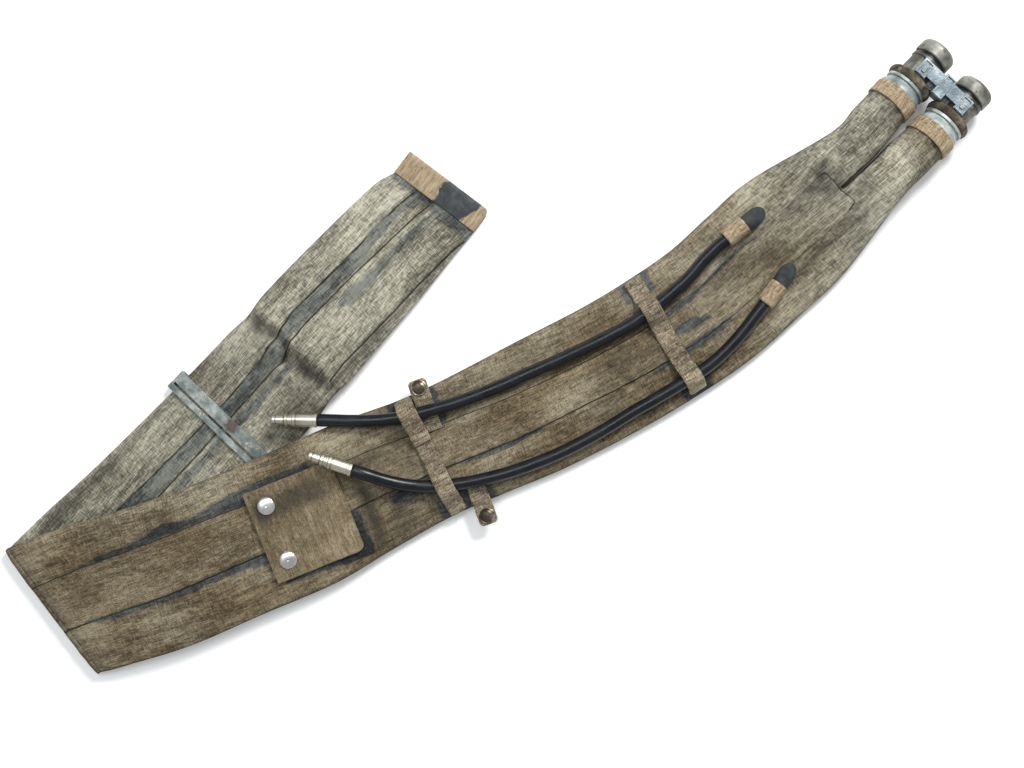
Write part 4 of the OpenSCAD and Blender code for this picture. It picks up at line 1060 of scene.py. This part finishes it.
# ---------- straps, tabs and flap ----------
def cloth_strip(name, matrix, line, width, ends, material, body, slot, replaced, marks, warp=0.25):
    """A strip of cloth along an underside line of local (x, z), with rounded ends of the given radii."""
    path = dense_line([(x, 0, z) for x, z in line], 1.3)
    run = np.concatenate([[0], np.cumsum(np.linalg.norm(np.diff(path, axis=0), axis=1))])
    length = run[-1]
    columns = max(8, round(width / 2.2))
    rings, cloth = [], []
    rounding = (0.02, 0.12, 0.3, 0.6, 1.0)
    between = run[(run > ends[0]) & (run < length - ends[1])]
    at = {*(k * ends[0] for k in rounding), *between, *(length - k * ends[1] for k in rounding)}
    for s in sorted(at):
        x, _, z = [float(np.interp(s, run, path[:, k])) for k in range(3)]
        after, before = min(s + 1, length), max(s - 1, 0)
        ahead = [float(np.interp(after, run, path[:, k]) - np.interp(before, run, path[:, k])) for k in (0, 2)]
        size = math.hypot(*ahead)
        normal = (-ahead[1] / size, ahead[0] / size)
        inset = 0.0
        for r, gone in ((ends[0], s), (ends[1], length - s)):
            if gone < r:
                inset = max(inset, r - math.sqrt(max(0, r * r - (r - gone) ** 2)))
        half = width / 2 - inset + 0.25 * wander(s / 6, 0, len(name))
        upper, lower, row = [], [], []
        for k in range(columns + 1):
            c = math.cos(math.pi * k / columns)
            c = mix(c, 1 - 2 * k / columns, 0.55)
            y = half * c
            lift = warp * wander(s / 9, y / 6, len(name) + 3) + warp * 0.6
            rim = 0.3 * CLOTH_T * abs(c) ** 14
            for face, height in ((upper, CLOTH_T + lift - rim), (lower, rim + lift * 0.5)):
                face.append(matrix @ Vector((x + normal[0] * height, y, z + normal[1] * height)))
            row.append((y, s))
        rings.append(upper + lower[::-1])
        cloth.append(row + row[::-1])
    values = zip(*(marks(s, y) for row in cloth for y, s in row))
    strip = loft(name, rings, material, cloth, dict(zip(("pale", "stain_and_shade", "cement", "line"), values)))
    belongs(strip, body, slot, *replaced)
    return strip, length


def strap_line(name):
    """The underside of a keeper: an arch over each hose and a sag between them, as in part.scad."""
    _, _, length, hoses, slack, ends = KEEPERS[name]
    r = HOSE_D / 2 + 0.9

    def arch(x, spare):
        turns = [math.radians(a) for a in range(150, 29, -20)]
        return [(x + r * math.cos(a) + math.copysign(spare, math.cos(a)) * (abs(math.cos(a)) > 1e-6),
                 HOSE_Z + r * math.sin(a)) for a in turns]

    return ([(0, ends[0]), (max(2.5, hoses[0] - r - slack[0] - 5), min(ends[0] + 2.4, STRAP_TOP + 0.6))]
            + arch(hoses[0], slack[0])
            + [(hoses[0] + r + slack[0] + 8, 17), (sum(hoses) / 2, STRAP_TOP + 1.2),
               (hoses[1] - r - slack[1] - 8, 17)]
            + arch(hoses[1], slack[1])
            + [(min(length - 2.5, hoses[1] + r + slack[1] + 5), min(ends[1] + 2.4, STRAP_TOP + 0.6)),
               (length, ends[1])])


def worn_marks(pale_at):
    """Marks of a strip that is as pale as pale_at says along its length."""
    return lambda s, y: (pale_at(s) + 0.2 * wander(s / 7, y / 6, 71), 0, NO_MARK, NO_MARK)


def build_keepers():
    whole = strap_line("left")
    lap_start, lap_end = KEEPER_LAP
    lift = CLOTH_T + 0.3
    low = [(lap_start, 16.2)] + [p for p in whole if p[0] > lap_start]
    high = [p for p in whole if p[0] < lap_start - 6] + [(lap_start, 16.6 + lift), (lap_end, 15.8 + lift)]
    for part, line, width, ends, hose, pale_at in (
        ("right", strap_line("right"), STRAP_W, (2, 1.5), "upper",
         lambda s: 0.1 + 0.85 * smooth(90, 104, s) + 0.4 * smooth(30, 10, s)),
        ("left_long", low, STRAP_W - 0.6, (0.6, 3), "lower", lambda s: 0.15 + 0.5 * smooth(40, 65, s)),
        ("left_short", high, STRAP_W, (2, 0.6), "upper", lambda s: 0.35),
    ):
        matrix = local_frame(*KEEPERS[part.split("_")[0]][:2])
        piece, length = cloth_strip(f"keeper_strap_{part}", matrix, line, width, ends, MATERIALS["strap"],
                                    "belt", "strap_cloth", [f"keeper_{part}"], worn_marks(pale_at))


def build_tabs():
    for side, (at, angle, anchor) in TABS.items():
        matrix = local_frame((*at, TAB_Z), angle)
        line = [(0, 0), (20, 0), (TAB_LEN, 0)]
        nodes = [f"tab_{side}", f"tab_anchor_{side}"]
        piece, length = cloth_strip(f"tab_strap_{side}", matrix, line, STRAP_W, (0.6, 4), MATERIALS["strap"],
                                    None, "strap_cloth", nodes, worn_marks(lambda s: 0.3), warp=0.15)
        start, end = [place(*(matrix @ Vector((anchor + k, 0, CLOTH_T / 2)))) for k in (-3, 3)]
        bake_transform(piece, "belt", f"{side}_tab", start=start, end=end)


def flap_marks(s, y):
    """(pale, stain, cement, line) of the flap, from its free edge."""
    pale = 0.15 + 0.4 * wander(s / 18, y / 14, 51)
    across = box_distance(s, y, 10, 62, 18, 26)
    stain_and_shade = 0.65 * math.exp(-(max(0, across) / 6) ** 2)
    stain_and_shade += 0.5 * math.exp(-((s - 9) / 8) ** 2 - ((y - 20) / 12) ** 2)
    return pale, min(0.85, stain_and_shade), NO_MARK, NO_MARK


def build_flap():
    matrix = FLAP_FRAME @ Matrix.Translation((0, -FLAP_SIZE[1] / 2, 0))
    line = [(0, 0.5), (20, 0.3), (45, 0), (FLAP_HINGE_X, 0), (FLAP_SIZE[0], -0.2)]
    piece, length = cloth_strip("flap_cloth", matrix, line, FLAP_SIZE[1], (0.8, 6), MATERIALS["flap"], None,
                                "belt_cloth", ["snap_flap", "flap_anchor"], flap_marks, warp=0.45)
    middle = -FLAP_SIZE[1] / 2
    start, end = [place(*(FLAP_FRAME @ Vector((FLAP_HINGE_X + k, middle, CLOTH_T / 2)))) for k in (5, -5)]
    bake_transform(piece, "belt", "flap", start=start, end=end)
    caps = []
    profile = [(0, 3.5), (0, 4.2), (CLOTH_T, 4.3), (CLOTH_T + 0.25, 6.9), (CLOTH_T + 0.35, 7.45),
               (CLOTH_T + 0.75, 7.55)]
    profile += [(CLOTH_T + 0.75 + 2.5 * math.sin(math.radians(a)), 7.5 * math.cos(math.radians(a)) ** 0.9)
                for a in range(6, 90, 7)]
    profile += [(CLOTH_T + 3.25, 0.01), (CLOTH_T + 1.6, 0.01), (CLOTH_T + 1.6, 3.5)]
    for y in (-SNAP_INSET, SNAP_INSET - FLAP_SIZE[1]):
        up = FLAP_FRAME @ Matrix.Translation((SNAP_X, y, 0.4)) @ Matrix.Rotation(-math.pi / 2, 4, "Y")
        caps.append(lathe("flap_cap", up, profile, MATERIALS["snap"], 56))
    caps = join("flap_domed_caps", caps)
    belongs(caps, "flap", "nickel", "flap_snap_caps")


# ---------- sleeves, patches, bands and binding ----------
def sleeve_frame(side):
    first, second = [Vector(p) for p in HOSE_ROUTES[side][:2]]
    ahead = (first - second).normalized()
    return Matrix.Translation(second) @ ahead.to_track_quat("X", "Z").to_matrix().to_4x4()


def build_sleeve(side):
    matrix = sleeve_frame(side)
    inner = HOSE_D / 2 + 0.25
    outline = [(-4.5, inner + 0.3), (-4.9, inner + 1.0), (-4.6, SLEEVE_R - 0.5), (-3.9, SLEEVE_R),
               (-2.5, SLEEVE_R + 0.05)]
    outline += [(x, SLEEVE_R - 0.12 - 0.12 * math.sin(x * 0.9)) for x in range(-1, 15)]
    outline += [(15.4, SLEEVE_R - 0.2), (15.5, inner), (8, inner), (0, inner)]
    sleeve = lathe(f"sleeve_cloth_{side}", matrix, outline, MATERIALS["tan"], 72, 0.45)
    belongs(sleeve, "belt", "tan_cloth", f"hose_sleeve_{side}")
    drop = 4.6 if side == "upper" else 6.2
    rings, cloth = [], []
    reach = 37.0
    for i in range(25):
        x = mix(15.2, reach, (i / 24) ** 0.9)
        t = (x - 15.2) / (reach - 15.2)
        wide = 7.2 * math.sqrt(max(0.002, 1 - max(0, (t - 0.45) / 0.55) ** 2.4)) * mix(1, 1.02, t)
        tall = mix(7.1, 1.25, smooth(0, 0.95, t)) * math.sqrt(max(0.02, 1 - max(0, (t - 0.8) / 0.2) ** 2))
        z = -drop * smooth(0, 1, t)
        ring, row = [], []
        for k in range(32):
            a = 2 * math.pi * k / 32
            bump = 0.25 * wander(x / 5, 2 * math.cos(a), 2 * math.sin(a) + 9)
            height = z + (tall + bump * 0.6) * math.sin(a)
            ring.append(matrix @ Vector((x, (wide + bump) * math.cos(a), height)))
            row.append((x, a * wide))
        rings.append(ring)
        cloth.append(row)
    patch = loft(f"nipple_rubber_{side}", rings, MATERIALS["patch"], cloth)
    belongs(patch, "belt", "black_rubber", f"nipple_patch_{side}")


def inflator_frame(side):
    return local_frame(INFLATOR_AT, INFLATOR_ANGLE) @ Matrix.Translation((0, side * PITCH / 2, 0))


def build_band(side):
    inner, outer = CHAMBER_END_R - 0.2, INFLATOR_AT[2] - 0.15
    outline = [(0.3, inner), (-0.2, outer - 0.5), (0.1, outer - 0.1), (1.0, outer)]
    outline += [(x, outer + 0.05 * math.sin(x * 2.1)) for x in range(2, 12)]
    outline += [(12.2, outer - 0.1), (12.8, outer - 0.6), (12.9, inner)]
    band = lathe(f"neck_tape_{side}", inflator_frame(SIDES[side]), outline, MATERIALS["tan"], 96, 0.3)
    belongs(band, "belt", "tan_cloth", f"neck_band_{side}")


def build_binding():
    """A tape folded over the belt's end: the outline of its folded section, swept across the belt."""
    matrix = local_frame(BINDING_AT, BINDING_ANGLE)
    deep, wide = BINDING_SIZE
    tape = 1.2
    rings, cloth, cement = [], [], []
    for i in range(57):
        y = mix(-wide / 2, wide / 2, i / 56)
        corner = max(0, 5 - (y + wide / 2))
        depth = deep - (5 - math.sqrt(max(0, 25 - corner ** 2))) + 0.3 * wander(y / 7, 0, 61)
        slim = 0.5 * smooth(wide / 2 - 3, wide / 2, abs(y))
        top = BINDING_T - slim - 0.15 + 0.15 * wander(y / 8, 3, 62)
        low = slim
        bend = (top - low) / 2
        centre_z = (top + low) / 2
        outer = [(x, top + 0.12 * wander(x / 4, y / 5, 63) * (x > 1))
                 for x in (-0.4, 0.5, 3, 6, 9, 12, depth - bend - 1)]
        for a in (80, 65, 50, 35, 20, 5, -10, -25, -40, -55, -70, -82):
            turn = math.radians(a)
            outer.append((depth - bend * 0.9 + bend * 0.9 * math.cos(turn), centre_z + bend * math.sin(turn)))
        outer += [(x, low) for x in (depth - bend - 1, 12, 6, 0)]
        inner = []
        for x, z in reversed(outer):
            inner.append((min(x, depth - tape), centre_z + (z - centre_z) * (1 - tape / bend)))
        rings.append([matrix @ Vector((x, y, z)) for x, z in outer + inner])
        cloth.append([(y, x) for x, _ in outer + inner])
        cement += [max(y - 2 + 1.5 * math.sin(x / 3), -27 - y - 0.35 * x, -1 - x) for x, _ in outer + inner]
    binding = loft("end_binding_tape", rings, MATERIALS["binding"], cloth, {"cement": cement})
    belongs(binding, "tail", "tan_cloth", "end_binding")


# ---------- CAD nodes ----------
SINGLE_LOOKS = {
    "slide_buckle": "zinc", "flap_snap_studs": "steel", "bridge_block": "plate", "bridge_screws": "steel",
    "squeeze_plate": "plate", "plate_clip": "steel",
}
PAIRED_LOOKS = {
    "tab_snap": "dark_snap", "valve_body": "nickel", "valve_seat": "hose", "mouthpiece": "nickel",
    "lock_ring": "nickel", "neck": "neck", "union_ring": "ring", "barrel": "barrel", "pin_guide": "steel",
    "firing_pin": "steel", "cartridge": "steel", "cap_seal": "hose", "cap": "cap",
}


def dress_cad():
    paired = {f"{part}_{side}": look for side in SIDES for part, look in PAIRED_LOOKS.items()}
    for node, look in (SINGLE_LOOKS | paired).items():
        thing = frame["nodes"][node]
        thing.data.materials.clear()
        thing.data.materials.append(MATERIALS[look])


build_stage()
for side_name in SIDES:
    build_hose(side_name)
build_front()
build_tape()
build_fold()
build_tail()
build_keepers()
build_tabs()
build_flap()
for side_name in SIDES:
    build_pin_spring(side_name)
    build_sleeve(side_name)
    build_band(side_name)
build_binding()
dress_cad()
